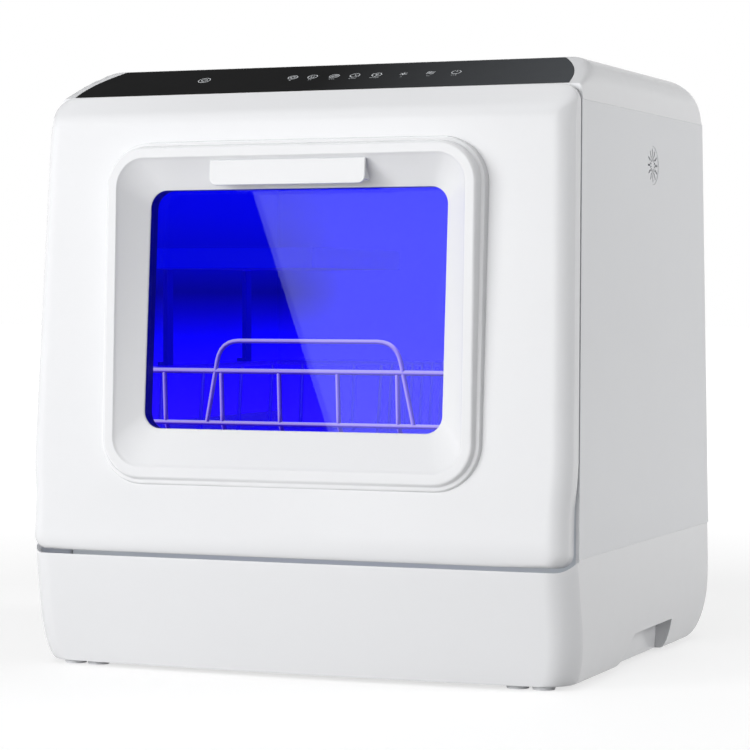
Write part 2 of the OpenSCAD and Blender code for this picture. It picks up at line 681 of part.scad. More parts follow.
// Hinge arm, bored for its pin and screwed to the door liner
module hinge_arm(side) {
    leaning() difference() {
        union() {
            translate([side * arm_x - arm_t / 2, hinge_back, hinge_up]) rotate([0, 90, 0]) cylinder(h = arm_t, d = hinge_pin_d + 6);
            box([side * arm_x - arm_t / 2, -liner_t - 4, hinge_up - 6], [side * arm_x + arm_t / 2, hinge_back, hinge_up + 6]);
            box([side * arm_x - arm_t / 2, -liner_t - 10, hinge_up - 6], [side * arm_x + arm_t / 2, -liner_t - 0.2, 110]);
            box([min(side * arm_x, side * (liner_w - 14)), -liner_t - 2, 46], [max(side * arm_x, side * (liner_w - 14)), -liner_t, 108]);
        }
        translate([side * arm_x - 10, hinge_back, hinge_up]) rotate([0, 90, 0]) cylinder(h = 20, d = hinge_pin_d + 2 * run_gap);
    }
}
module hinge_arm_left() color("silver") hinge_arm(-1);
module hinge_arm_right() color("silver") hinge_arm(1);

// Fixed bracket that holds the hinge pin, fastened behind the front frame
module hinge_bracket(side) {
    x0 = arm_x + arm_t / 2 + 0.6;
    back = frame_front + casing_t;
    leaning() mirror([side < 0 ? 1 : 0, 0, 0]) {
        translate([arm_x - arm_t / 2 - 2, hinge_back, hinge_up]) rotate([0, 90, 0]) cylinder(h = arm_t + 4.6, d = hinge_pin_d);
        translate([x0, 0, 0]) rotate([90, 0, 90]) linear_extrude(3) polygon([
            [hinge_back - 6.5, hinge_up - 5], [hinge_back + 6, hinge_up - 7], [back + 14, 36],
            [back + 14, 74], [back, 74], [back, 33.7], [hinge_back - 6.5, 33.7]]);
    }
}
module hinge_bracket_left() color("gray") hinge_bracket(-1);
module hinge_bracket_right() color("gray") hinge_bracket(1);

// ---- Tub and racks ----

tub_half = tub_w / 2;
tub_y1 = rear_y - tub_rear_gap;
lip_in = base_h + open_low;
step_y = well_y1;
sump_x = 62;
sump_y = 70;
sump_r = 46;
sump_z = 80;
axle_y = 15;
axle_r = 5;
// Side view of the tub as points, drawn in by inset; reach carries the inner one out of the front
function tub_side(inset, reach) = [
    [seam_at(tub_top) + frame_front - reach, tub_top + tub_t - inset],
    [seam_at(lip_in) + frame_front - reach, lip_in - tub_t + inset],
    [step_y + inset, lip_in - tub_t + inset],
    [step_y + inset, tub_floor - tub_t + inset],
    [tub_y1 + tub_t - inset, tub_floor - tub_t + inset],
    [tub_y1 + tub_t - inset, tub_top + tub_t - inset]];
module tub() color("lightsteelblue") difference() {
    union() {
        rotate([90, 0, 90]) translate([0, 0, -tub_half - tub_t]) linear_extrude(tub_w + 2 * tub_t)
            polygon(tub_side(0, 1.5));
        leaning() upright(frame_front - tub_t, frame_front) pane(tub_half + 11, open_low - 8, open_high + 11, 10);
    }
    rotate([90, 0, 90]) translate([0, 0, -tub_half]) linear_extrude(tub_w) polygon(tub_side(tub_t, 30));
    translate([sump_x, sump_y, tub_floor - 20]) cylinder(h = 40, r = sump_r);
    translate([0, axle_y, tub_floor - 20]) cylinder(h = 40, r = axle_r + 4);
    translate([tub_half - 5, vent_y, vent_z]) rotate([0, 90, 0]) cylinder(h = 20, r = fan_r - 3);
}

module tub_gasket() color("dimgray") leaning() difference() {
    upright(seat_gap, frame_front - tub_t) pane(tub_half + 9, open_low - 7, open_high + 8, 12);
    upright(-5, 20) pane(tub_half + 1, open_low + 0.6, open_high - 1, 8);
}

module sump() color("gainsboro") translate([sump_x, sump_y, 0]) difference() {
    union() {
        translate([0, 0, sump_z]) cylinder(h = tub_floor - tub_t - sump_z, r = sump_r + 6);
        rotate(180) translate([0, 0, sump_z + 12]) rotate([0, 90, 0]) cylinder(h = sump_r + 20, r = 8);
    }
    translate([0, 0, sump_z + 2]) cylinder(h = 60, r = sump_r);
    rotate(180) translate([0, 0, sump_z + 12]) rotate([0, 90, 0]) cylinder(h = 90, r = 6);
}

filter_r = 20;
module filter_plate() color("silver") translate([sump_x, sump_y, tub_floor - tub_t]) difference() {
    cylinder(h = 2, r = sump_r - seat_gap);
    translate([0, 0, -1]) cylinder(h = 4, r = filter_r + run_gap);
    for (i = [0:15]) rotate(i * 22.5) translate([34, 0, -1]) cylinder(h = 4, d = 5, $fn = 16);
}

module filter_cup() color("silver") translate([sump_x, sump_y, 0]) difference() {
    union() {
        translate([0, 0, sump_z + 3]) cylinder(h = tub_floor - sump_z, r = filter_r);
        translate([0, 0, tub_floor + 0.3]) cylinder(h = 2.7, r = filter_r + 3);
        box([-filter_r - 1, -2, tub_floor + 3], [filter_r + 1, 2, tub_floor + 10]);
    }
    translate([0, 0, sump_z + 5]) cylinder(h = tub_floor - sump_z - 6, r = filter_r - 2);
    for (i = [0:7], z = [sump_z + 8, sump_z + 18]) rotate(i * 45) translate([filter_r - 4, -2, z]) cube([8, 4, 7]);
}

arm_z = tub_floor + 17;
arm_r = 122;
module spray_axle() color("gainsboro") translate([0, axle_y, 0]) {
    translate([0, 0, tub_floor - 14]) cylinder(h = 15, r = axle_r + 4 - run_gap);
    translate([0, 0, tub_floor]) cylinder(h = 3, r = axle_r + 10);
    translate([0, 0, tub_floor + 3]) cylinder(h = arm_z - tub_floor - 3.3, r = axle_r + 5);
    translate([0, 0, arm_z - 1]) cylinder(h = 11, r = axle_r);
    translate([0, 0, arm_z + 8.6]) cylinder(h = 4, r = axle_r + 4);
}
module spray_arm() color("lightgray") translate([0, axle_y, arm_z]) difference() {
    union() {
        cylinder(h = 8, r = 18);
        for (s = [-1, 1]) linear_extrude(7) polygon([[0, -14 * s], [arm_r * s, -9 * s], [arm_r * s, 9 * s], [0, 14 * s]]);
        for (s = [-1, 1], k = [1:4]) translate([s * (14 + k * 24), s * 2, 7]) cylinder(h = 1, d = 7, $fn = 24);
    }
    translate([0, 0, -1]) cylinder(h = 12, r = axle_r + run_gap);
    for (s = [-1, 1], k = [1:4]) translate([s * (14 + k * 24), s * 2, 2]) cylinder(h = 12, d = 3, $fn = 24);
}

module light_lens() color("blue")
    for (s = [-1, 1]) box([s * 75 - 35, -108, tub_top - 4], [s * 75 + 35, -96, tub_top]);

rail_z = basket_floor - 12;
rail_in = basket_w / 2 - 2;
module rack_rails() color("white") for (s = [-1, 1]) {
    a = s * tub_half;
    b = s * rail_in;
    box([min(a, b), step_y - 20, rail_z - 3], [max(a, b), tub_y1 - 6, rail_z]);
    box([min(a, a - s * 3), step_y - 20, rail_z], [max(a, a - s * 3), tub_y1 - 6, rail_z + 22]);
}

basket_y0 = seam_at(basket_rim) + 12.6;
basket_y1 = tub_y1 - 29;
bw = basket_w / 2;
runner_z = rail_z + wire_d / 2 + seat_gap;
low_y0 = basket_y0 + 4;
loop_low = basket_floor + 14;
module basket() color("mediumpurple") {
    wire([[-bw, basket_y0, basket_rim], [bw, basket_y0, basket_rim], [bw, basket_y1, basket_rim],
        [-bw, basket_y1, basket_rim], [-bw, basket_y0, basket_rim]], wire_d + 0.6);
    for (s = [-1, 1]) {
        translate([s * bw, basket_y0, basket_rim]) sphere(d = (wire_d + 0.6) * 1.1, $fn = 16);
        bar([s * (bw + 4), low_y0, runner_z], [s * (bw + 4), basket_y1, runner_z], wire_d);
        for (y = [-90, -20, 50, 110]) wire([[s * bw, y, basket_rim], [s * (bw + 4), y, runner_z],
            [s * (bw - 12), y, basket_floor]], wire_d);
    }
    wire([[-bw + 5, basket_y0 + 2, basket_floor + 13], [bw - 5, basket_y0 + 2, basket_floor + 13]], wire_d);
    for (y = [-90, -20, 50, 110]) bar([12 - bw, y, basket_floor], [bw - 12, y, basket_floor], wire_d);
    for (x = [-2.5:2.5]) let (x = x * (basket_w - 46) / 5) wire([[x, basket_y0, basket_rim],
        [x, basket_y0 + 2, basket_floor + 13], [x, low_y0 + 8, basket_floor], [x, basket_y1 - 4, basket_floor],
        [x, basket_y1, basket_rim]], wire_d);
    wire([[-81, basket_y0 + 1, loop_low], [-73, basket_y0 - 1, basket_rim + 8], [-60, basket_y0 - 1, basket_rim + 22],
        [60, basket_y0 - 1, basket_rim + 22], [73, basket_y0 - 1, basket_rim + 8],
        [81, basket_y0 + 1, loop_low]], wire_d);
}

tine_z = basket_floor + wire_d;
module plate_tines() color("mediumpurple") for (x = [34, 96]) {
    bar([x, -95, tine_z], [x, 100, tine_z], wire_d);
    for (i = [0:8]) wire([[x, -84 + i * 21, tine_z], [x + 3, -84 + i * 21, tine_z + 52]], wire_d - 0.4);
}

shelf_x0 = -bw + 4;
shelf_x1 = -6;
shelf_y0 = -112;
shelf_y1 = 60;
shelf_z0 = tub_top - 92;
shelf_z1 = shelf_z0 + 15;
shelf_bars = 7;
shelf_pitch = (shelf_x1 - shelf_x0 - 8) / shelf_bars;
module cup_shelf() color("royalblue") {
    difference() {
        box([shelf_x0, shelf_y0, shelf_z0], [shelf_x1, shelf_y1, shelf_z1]);
        box([shelf_x0 + 2, shelf_y0 + 2, shelf_z0 + 2], [shelf_x1 - 2, shelf_y1 - 2, shelf_z1 + 1]);
        for (i = [0:shelf_bars - 1]) translate([shelf_x0 + 7 + i * shelf_pitch, 0, shelf_z0])
            box([0, shelf_y0 + 8, -1], [shelf_pitch - 6, shelf_y1 - 8, 3]);
    }
    for (y = [shelf_y0 + 22, shelf_y1 - 10]) {
        box([shelf_x0 - 1.4, y - 5, basket_rim + 2.3], [shelf_x0 + 2, y + 5, shelf_z0 + 1]);
        box([shelf_x0 - 6, y - 5, basket_rim + 2.3], [shelf_x0, y + 5, basket_rim + 5]);
    }
}

// ---- Water path and machinery ----

tank_x1 = -tub_half - tub_t;
tank_x0 = -half_at(side_h) + casing_t + 1.5;
tank_top = tub_top - 12;
spout_x = (tank_x0 + tank_x1) / 2;
spout_r = 9;
module water_tank() color("aliceblue") difference() {
    box([tank_x0, step_y + seat_gap, tub_floor], [tank_x1, tub_y1 - 26, tank_top]);
    box([tank_x0 + 2, step_y + 2 + seat_gap, tub_floor + 2], [tank_x1 - 2, tub_y1 - 28, tank_top - 2]);
    translate([spout_x, fill_y, tank_top - 10]) cylinder(h = 20, r = spout_r + run_gap);
}

funnel_z = tub_top + tub_t + 6;
cap_t = 2.5;
cap_top = cabinet_h - 0.3;
module fill_funnel() color("lightgray") {
    difference() {
        union() {
            translate([fill_x, fill_y, funnel_z]) cylinder(h = cabinet_h - casing_t - funnel_z, d = fill_d + 5);
            box([spout_x - 13, fill_y - 13, funnel_z], [fill_x, fill_y + 13, funnel_z + 14]);
            translate([spout_x, fill_y, tank_top - 4]) cylinder(h = funnel_z - tank_top + 6, r = spout_r);
        }
        translate([fill_x, fill_y, funnel_z + 2]) cylinder(h = 60, d = fill_d - 6);
        box([spout_x - 11, fill_y - 11, funnel_z + 2], [fill_x, fill_y + 11, funnel_z + 12]);
        translate([spout_x, fill_y, tank_top - 10]) cylinder(h = 40, r = spout_r - 2);
        translate([fill_x, fill_y, cap_top - cap_t - seat_gap]) cylinder(h = 5, d = fill_d);
    }
}
module fill_cap() color("white") difference() {
    union() {
        translate([fill_x, fill_y, cap_top - cap_t]) cylinder(h = cap_t, d = fill_d - 1);
        translate([fill_x, fill_y, cap_top - cap_t - 6]) difference() {
            cylinder(h = 6.5, d = fill_d - 8);
            translate([0, 0, -1]) cylinder(h = 7, d = fill_d - 12);
        }
    }
    translate([fill_x, fill_y - fill_d / 2 - 4, cap_top]) sphere(d = 16);
}

// Pump lying along X: motor, then a round volute at its end
module pump(p, r, motor_l, volute_l) {
    translate(p) rotate([0, 90, 0]) difference() {
        union() {
            cylinder(h = motor_l, r = r - 4);
            translate([0, 0, motor_l]) cylinder(h = volute_l, r = r);
            translate([0, 0, motor_l + volute_l - 1]) cylinder(h = 11, r = 8);
        }
        translate([0, 0, motor_l + 2]) cylinder(h = volute_l - 4, r = r - 3);
        translate([0, 0, motor_l + 3]) cylinder(h = 40, r = 6);
        translate([0, 0, motor_l - 20]) cylinder(h = 40, r = 3 + run_gap);
    }
    for (k = [0.2, 0.8]) box([p[0] + motor_l * k - 4, p[1] - r * 0.6, base_floor_z + casing_t],
        [p[0] + motor_l * k + 4, p[1] + r * 0.6, p[2] - r * 0.7]);
}
module impeller(p, r, motor_l, volute_l) {
    translate(p) rotate([0, 90, 0]) {
        translate([0, 0, motor_l - 18]) cylinder(h = volute_l + 12, r = 3);
        translate([0, 0, motor_l + 4]) cylinder(h = 2, r = r - 4);
        for (i = [0:5]) rotate(i * 60) translate([2, -1, motor_l + 5]) cube([r - 7, 2, volute_l - 9]);
    }
}
wash_at = [-130, 60, 42];
drain_at = [20, -50, 34];
module wash_pump() color("gray") pump(wash_at, 31, 74, 22);
module wash_impeller() color("white") impeller(wash_at, 31, 74, 22);
module drain_pump() color("gray") pump(drain_at, 23, 50, 18);
module drain_impeller() color("white") impeller(drain_at, 23, 50, 18);

outlet_x = wash_at[0] + 74 + 11;
module wash_hose() color("darkgray")
    hose([[outlet_x, wash_at[1], wash_at[2] + 32.6], [outlet_x, wash_at[1] - 1, 80],
        [outlet_x * 0.75, axle_y + 33, 84.5], [outlet_x * 0.25, axle_y + 11, 85.5], [-1, axle_y + 1, 91],
        [0, axle_y, tub_floor - 14.4]], 9);
module sump_hose() color("darkgray")
    hose([[sump_x - sump_r - 20.1, sump_y, sump_z + 12], [-16, sump_y, sump_z + 10], [-14, 64, 62],
        [-12, wash_at[1], wash_at[2]], [wash_at[0] + 106.1, wash_at[1], wash_at[2]]], 12);
module heater() color("silver") translate([sump_x, sump_y, sump_z + 7]) {
    rotate_extrude(angle = 300) translate([33, 0]) circle(d = 7);
    for (a = [0, 300]) rotate(a) translate([33, 0, -5]) cylinder(h = 5, d = 6);
}
module drain_hose() color("darkgray")
    hose([[drain_at[0] + 79, drain_at[1], drain_at[2]], [116, drain_at[1], drain_at[2]], [150, -20, 40],
        [150, tub_y1 - 17, 60], [40, tub_y1 + 9, 96], [drain_x + 20, tub_y1 + 15, port_z],
        [drain_x, rear_y - 12, port_z]], 12);

// Axial fan behind the round vent
fan_x = half_at(vent_z) - casing_t - 1.9;
fan_r = 16;
module fan_housing() color("dimgray") translate([fan_x, vent_y, vent_z]) rotate([0, -90, 0]) {
    difference() {
        cylinder(h = 24, r = fan_r + 3);
        translate([0, 0, -1]) cylinder(h = 26, r = fan_r);
    }
    difference() {
        union() {
            translate([0, 0, 18]) cylinder(h = 4, r = 6);
            for (i = [0:2]) rotate(i * 120) translate([0, -1.5, 19]) cube([fan_r + 1, 3, 3]);
        }
        translate([0, 0, 10]) cylinder(h = 10, r = 1.5 + run_gap);
    }
}
module fan_impeller() color("black") translate([fan_x, vent_y, vent_z]) rotate([0, -90, 0]) {
    translate([0, 0, 5]) cylinder(h = 11, r = 5);
    translate([0, 0, 15]) cylinder(h = 4.8, r = 1.5);
    for (i = [0:6]) rotate(i * 360 / 7) translate([4, -0.8, 6]) rotate([25, 0, 0]) cube([fan_r - 6, 1.6, 8]);
}
module air_duct() color("lightgray") difference() {
    translate([fan_x - 24, vent_y, vent_z]) rotate([0, -90, 0]) cylinder(h = fan_x - 24 - tub_half - tub_t, r = fan_r + 2);
    translate([fan_x, vent_y, vent_z]) rotate([0, -90, 0]) cylinder(h = 90, r = fan_r - 1);
}

module power_board() color("darkgreen") {
    box([80, 60, base_floor_z + casing_t], [170, 130, base_floor_z + casing_t + 4]);
    box([84, 64, base_floor_z + casing_t + 4], [166, 126, base_floor_z + casing_t + 6]);
    for (p = [[92, 72, 18], [120, 72, 24], [92, 100, 12], [128, 98, 20]])
        box([p[0], p[1], base_floor_z + casing_t + 6], [p[0] + 20, p[1] + 16, base_floor_z + casing_t + 6 + p[2]]);
}

latch_y0 = frame_front + casing_t;
module latch_body() color("dimgray") leaning() difference() {
    box([-16, latch_y0, strike_z - 8], [16, latch_y0 + 22, strike_z + 8]);
    box([-7, latch_y0 - 1, strike_z - 4], [7, latch_y0 + 18, strike_z + 1]);
    translate([0, bolt_y, strike_z - bolt_travel]) cylinder(h = 30, r = bolt_r + run_gap);
}
module lock_bolt() color("orange") leaning() translate([0, bolt_y, strike_z]) {
    translate([0, 0, bolt_rest_gap]) cylinder(h = 15.5, r = bolt_r);
    translate([0, 0, 16.5]) cylinder(h = 2.5, r = bolt_r * 1.8);
}
module door_switch() color("black") leaning() box([20, latch_y0, strike_z - 8], [34, latch_y0 + 10, strike_z + 6]);

module leak_float() color("orange") translate([float_x, 0, base_floor_z + casing_t + seat_gap]) difference() {
    cylinder(h = 12, r = 15);
    translate([0, 0, -1]) cylinder(h = 14, r = float_post_r + run_gap);
}

module port(x, r, bore, out, inward) {
    translate([x, rear_y, port_z]) rotate([90, 0, 0]) difference() {
        union() {
            translate([0, 0, -out]) cylinder(h = out + inward, r = r);
            translate([0, 0, casing_t]) cylinder(h = 3, r = r + 5);
        }
        translate([0, 0, -out - 1]) cylinder(h = out + inward + 2, r = bore);
    }
}
module water_inlet() color("white") port(inlet_x, inlet_r - 0.3, 9, 0, 16);
module drain_outlet() color("white") port(drain_x, drain_r - 0.3, 6, 0, 8);
module power_inlet() color("black") difference() {
    union() {
        box([power_x - power_w / 2 - 3, rear_y - casing_t - 2, port_z - power_h / 2 - 3],
            [power_x + power_w / 2 + 3, rear_y - casing_t, port_z + power_h / 2 + 3]);
        box([power_x - power_w / 2 + 0.3, rear_y - 22, port_z - power_h / 2 + 0.3],
            [power_x + power_w / 2 - 0.3, rear_y, port_z + power_h / 2 - 0.3]);
    }
    box([power_x - 12, rear_y - 16, port_z - 9], [power_x + 12, rear_y + 2, port_z + 9]);
}

base_housing();
door_well();
feet();
side_panel_left();
side_panel_right();
rear_panel();
top_cover();
front_frame();
control_strip();
control_board();
vent_grille();
casing_screws();
door_shell();
window_surround();
door_glass();
inner_glass();
glass_seal();
door_liner();
door_handle();
latch_strike();
door_screws();
hinge_arm_left();
hinge_arm_right();
hinge_bracket_left();
hinge_bracket_right();
tub();
tub_gasket();
sump();
filter_plate();
filter_cup();
spray_arm();
spray_axle();
light_lens();
rack_rails();
basket();
plate_tines();
cup_shelf();
water_tank();
fill_funnel();
fill_cap();
wash_pump();
wash_impeller();
drain_pump();
drain_impeller();
heater();
wash_hose();
sump_hose();
drain_hose();
fan_housing();
fan_impeller();
air_duct();
power_board();
latch_body();
lock_bolt();
door_switch();
leak_float();
water_inlet();
drain_outlet();
power_inlet();
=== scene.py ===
# Countertop dishwasher: smooth casing, window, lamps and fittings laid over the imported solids.
# Lengths are millimetres. Only the lamp and studio dictionaries and the materials use metres.
from math import cos, pi, radians, sin, sqrt, tan

import bmesh
import bpy
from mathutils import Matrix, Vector


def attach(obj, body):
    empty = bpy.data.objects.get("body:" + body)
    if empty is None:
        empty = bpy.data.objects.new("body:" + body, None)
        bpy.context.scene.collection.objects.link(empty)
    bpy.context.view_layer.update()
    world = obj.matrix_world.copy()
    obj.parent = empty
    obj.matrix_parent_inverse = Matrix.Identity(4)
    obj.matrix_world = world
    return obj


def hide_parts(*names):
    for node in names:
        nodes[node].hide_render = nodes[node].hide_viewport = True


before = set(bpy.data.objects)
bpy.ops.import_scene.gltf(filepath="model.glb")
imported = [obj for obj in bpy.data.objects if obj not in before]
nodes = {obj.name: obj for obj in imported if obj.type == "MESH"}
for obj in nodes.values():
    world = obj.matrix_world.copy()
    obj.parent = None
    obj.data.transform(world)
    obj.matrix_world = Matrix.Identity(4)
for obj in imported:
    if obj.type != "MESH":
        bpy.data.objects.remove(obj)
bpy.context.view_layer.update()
print("frame loaded:", len(nodes), "nodes")

# camera and shared sizes
camera = {"place": (776.4, -1908.2, 272.2), "yaw": 22.225, "down": 1.692, "lens": 129.22,
    "sensor": 36}

camData = bpy.data.cameras.new("camera")
camData.lens = camera["lens"]
camData.sensor_width = camera["sensor"]
camObject = bpy.data.objects.new("camera", camData)
camObject.location = [c / 1000 for c in camera["place"]]
camObject.rotation_euler = (radians(90 - camera["down"]), 0, radians(camera["yaw"]))
bpy.context.scene.collection.objects.link(camObject)
bpy.context.scene.camera = camObject

# the same casing sizes as the solids
case = {
    "halfW": 210, "height": 442, "depth": 338, "sideLean": 1.09, "frontLean": 4.27, "baseH": 91,
    "sideH": 408, "topEdgeR": 24, "topRearR": 40, "foot": 3, "stripSlope": 24.2, "stripLift": 0.7,
}
door = {
    "reach": 28, "edgeReach": 21.5, "band": 8, "corner": 14, "len": 334.41, "drop": 6, "bevel": 19.4,
    "topR": 13, "lowR": 10, "gap": 3, "footClear": 3, "footTop": 27, "footBlend": 36,
}
window = {
    "glassHalf": 115, "glassLow": 84.3, "glassHigh": 256.3, "glassR": 12.5, "glassReach": 18.5,
    "ringHalf": 134, "ringLow": 56.4, "ringHigh": 277.8, "ringR": 21,
    "reachLow": 31.4, "reachHigh": 39, "face": 8,
}

sideSlope = tan(radians(case["sideLean"]))
frontSlope = tan(radians(case["frontLean"]))
leanCos, leanSin = cos(radians(case["frontLean"])), sin(radians(case["frontLean"]))
bow = door["reach"] - door["edgeReach"]
seamY = (door["reach"] * leanCos - case["depth"]) / 2
rearY = seamY + case["depth"]
doorTop = door["len"] - door["drop"]
stripSlope = radians(case["stripSlope"])
lipY = seamY + doorTop * leanSin
lipZ = case["baseH"] + doorTop * leanCos
stripY0, stripZ0 = lipY + door["gap"], lipZ + case["stripLift"]
stripLen = (case["height"] - stripZ0) / sin(stripSlope)
stripY1 = stripY0 + stripLen * cos(stripSlope)


def halfAt(z):
    return case["halfW"] - (z - case["baseH"]) * sideSlope


def seamAt(z):
    return seamY + (z - case["baseH"]) * frontSlope


def tuck(t):
    return 1 - sqrt(max(0.0, 1 - min(1.0, max(0.0, t)) ** 2))


def ease(t):
    t = min(1.0, max(0.0, t))
    return t * t * (3 - 2 * t)


def lean(p):
    # x across, y behind the seam, z up the lean
    x, y, z = p
    return (x, seamY + y * leanCos + z * leanSin, case["baseH"] - y * leanSin + z * leanCos)


def onStrip(p):
    x, y, z = p
    c, s = cos(stripSlope), sin(stripSlope)
    return (x, stripY0 + y * c - z * s, stripZ0 + y * s + z * c)


# materials
def newMaterial(name, color, rough, metal=0.0, coat=0.0, coatRough=0.05):
    mat = bpy.data.materials.new(name)
    mat.use_nodes = True
    shader = mat.node_tree.nodes["Principled BSDF"]
    shader.inputs["Base Color"].default_value = (*color, 1)
    shader.inputs["Roughness"].default_value = rough
    shader.inputs["Metallic"].default_value = metal
    shader.inputs["Coat Weight"].default_value = coat
    shader.inputs["Coat Roughness"].default_value = coatRough
    return mat, mat.node_tree, shader


def noiseNode(tree, scale, detail=3.0, stretch=(1, 1, 1)):
    place = tree.nodes.new("ShaderNodeTexCoord")
    size = tree.nodes.new("ShaderNodeMapping")
    size.inputs["Scale"].default_value = stretch
    noise = tree.nodes.new("ShaderNodeTexNoise")
    noise.inputs["Scale"].default_value = scale
    noise.inputs["Detail"].default_value = detail
    tree.links.new(place.outputs["Object"], size.inputs["Vector"])
    tree.links.new(size.outputs["Vector"], noise.inputs["Vector"])
    return noise


def feed(tree, socket, value):
    # value is another node's output, a colour or a number
    if isinstance(value, bpy.types.NodeSocket):
        tree.links.new(value, socket)
    else:
        socket.default_value = (*value, 1) if isinstance(value, tuple) else value


def mathNode(tree, operation, *values):
    node = tree.nodes.new("ShaderNodeMath")
    node.operation = operation
    for socket, value in zip(node.inputs, values):
        feed(tree, socket, value)
    return node.outputs["Value"]


def mixed(tree, share, low, high):
    # colour between low and high
    mix = tree.nodes.new("ShaderNodeMix")
    mix.data_type = "RGBA"
    for i, value in ((0, share), (6, low), (7, high)):
        feed(tree, mix.inputs[i], value)
    return mix.outputs[2]


def ranged(tree, source, fromLow, fromHigh, low=0.0, high=1.0):
    r = tree.nodes.new("ShaderNodeMapRange")
    for name, value in zip(("From Min", "From Max", "To Min", "To Max"), (fromLow, fromHigh, low, high)):
        r.inputs[name].default_value = value
    tree.links.new(source, r.inputs["Value"])
    return r.outputs["Result"]


def spread(tree, source, low, high, socket):
    # turns a 0..1 value into low..high on a number socket
    tree.links.new(ranged(tree, source, 0.0, 1.0, low, high), socket)


def tint(tree, source, colors, socket):
    ramp = tree.nodes.new("ShaderNodeValToRGB")
    ramp.color_ramp.elements[0].color = (*colors[0], 1)
    ramp.color_ramp.elements[1].color = (*colors[1], 1)
    ramp.color_ramp.elements[0].position = 0.3
    ramp.color_ramp.elements[1].position = 0.7
    tree.links.new(source, ramp.inputs["Fac"])
    tree.links.new(ramp.outputs["Color"], socket)


def grain(tree, shader, scale, height, strength=0.3):
    bump = tree.nodes.new("ShaderNodeBump")
    bump.inputs["Distance"].default_value = height
    bump.inputs["Strength"].default_value = strength
    tree.links.new(noiseNode(tree, scale, 2.0).outputs["Fac"], bump.inputs["Height"])
    tree.links.new(bump.outputs["Normal"], shader.inputs["Normal"])


def plastic(name, color, rough, coat=0.0, drift=0.02, grainScale=900, grainHeight=0.00002):
    mat, tree, shader = newMaterial(name, color, rough, coat=coat)
    soft = noiseNode(tree, 7, 2.0).outputs["Fac"]
    tint(tree, soft, [[c * (1 - drift) for c in color], [min(1, c * (1 + drift)) for c in color]],
         shader.inputs["Base Color"])
    spread(tree, noiseNode(tree, 60).outputs["Fac"], rough * 0.85, rough * 1.15, shader.inputs["Roughness"])
    grain(tree, shader, grainScale, grainHeight)
    return mat


def metalFinish(name, color, rough, stretch):
    mat, tree, shader = newMaterial(name, color, rough, 1.0)
    lines = noiseNode(tree, 120, 4.0, stretch).outputs["Fac"]
    tint(tree, lines, [[c * 0.88 for c in color], color], shader.inputs["Base Color"])
    spread(tree, lines, rough * 0.7, rough * 1.3, shader.inputs["Roughness"])
    return mat


# painted light inside the tub: glow colours that stand in for the blue wash lamp's light, from the floor to
# the ceiling, how strongly each part glows, and where they change
lamp = {
    # liner: painted light, with a painted shadow band at the shelf's height (0.52 to 0.66)
    "liner": [
        (0.0, (0.07, 0.02, 0.98)), (0.25, (0.034, 0.006, 0.96)), (0.45, (0.003, 0.0, 0.97)),
        (0.52, (0.001, 0.0, 0.5)), (0.58, (0.001, 0.001, 0.2)), (0.66, (0.0, 0.001, 0.42)),
        (0.8, (0.0, 0.001, 0.66)), (1.0, (0.001, 0.001, 0.84)),
    ],
    # right of the liner, blended in across: painted light without the shadow band
    "linerRight": [
        (0.0, (0.08, 0.03, 0.98)), (0.43, (0.02, 0.004, 0.95)), (0.57, (0.01, 0.002, 0.9)),
        (1.0, (0.002, 0.002, 0.88)),
    ],
    # wire: painted shade on the side facing away, up to a painted highlight on the side facing the painted
    # light
    "wire": [
        (0.0, (0.006, 0.0, 0.1)), (0.42, (0.03, 0.004, 0.3)), (0.58, (0.26, 0.1, 0.7)),
        (0.72, (0.95, 0.68, 0.98)), (1.0, (1.0, 0.85, 1.0)),
    ],
    # tray: painted shade on the underside, painted light on the walls and front, hangers painted in the
    # liner's colour
    "tray": {
        "under": (0.0, 0.0, 0.1), "wall": (0.006, 0.002, 0.9), "front": (0.0, 0.002, 0.95),
        "hanger": (0.001, 0.0, 0.45),
    },
    "inside": ((-0.1504, -0.2, 0.11), (0.1504, 0.1472, 0.3845)), "low": 0.115, "high": 0.39,
    "leftTo": -0.156, "rightFrom": -0.085, "body": 0.25, "linerGlow": 0.97,
    "wireHighlightFrom": (-0.55, -0.35, 0.76), "wireFar": (0.014, 0.002, 0.7), "wireNearY": -0.124,
    "wireFarY": -0.1, "wireGlow": 0.8, "trayY": -0.1115, "trayLow": 0.2915, "trayGlow": 0.8,
}


def steppedRamp(tree, source, steps):
    ramp = tree.nodes.new("ShaderNodeValToRGB")
    ramp.color_ramp.elements[0].color = (*steps[0][1], 1)
    ramp.color_ramp.elements[1].color = (*steps[-1][1], 1)
    for at, color in steps[1:-1]:
        ramp.color_ramp.elements.new(at).color = (*color, 1)
    tree.links.new(source, ramp.inputs["Fac"])
    return ramp.outputs["Color"]


def partOf(tree, output, axis):
    place = tree.nodes.new("ShaderNodeTexCoord")
    split = tree.nodes.new("ShaderNodeSeparateXYZ")
    tree.links.new(place.outputs[output], split.inputs["Vector"])
    return split.outputs[axis]


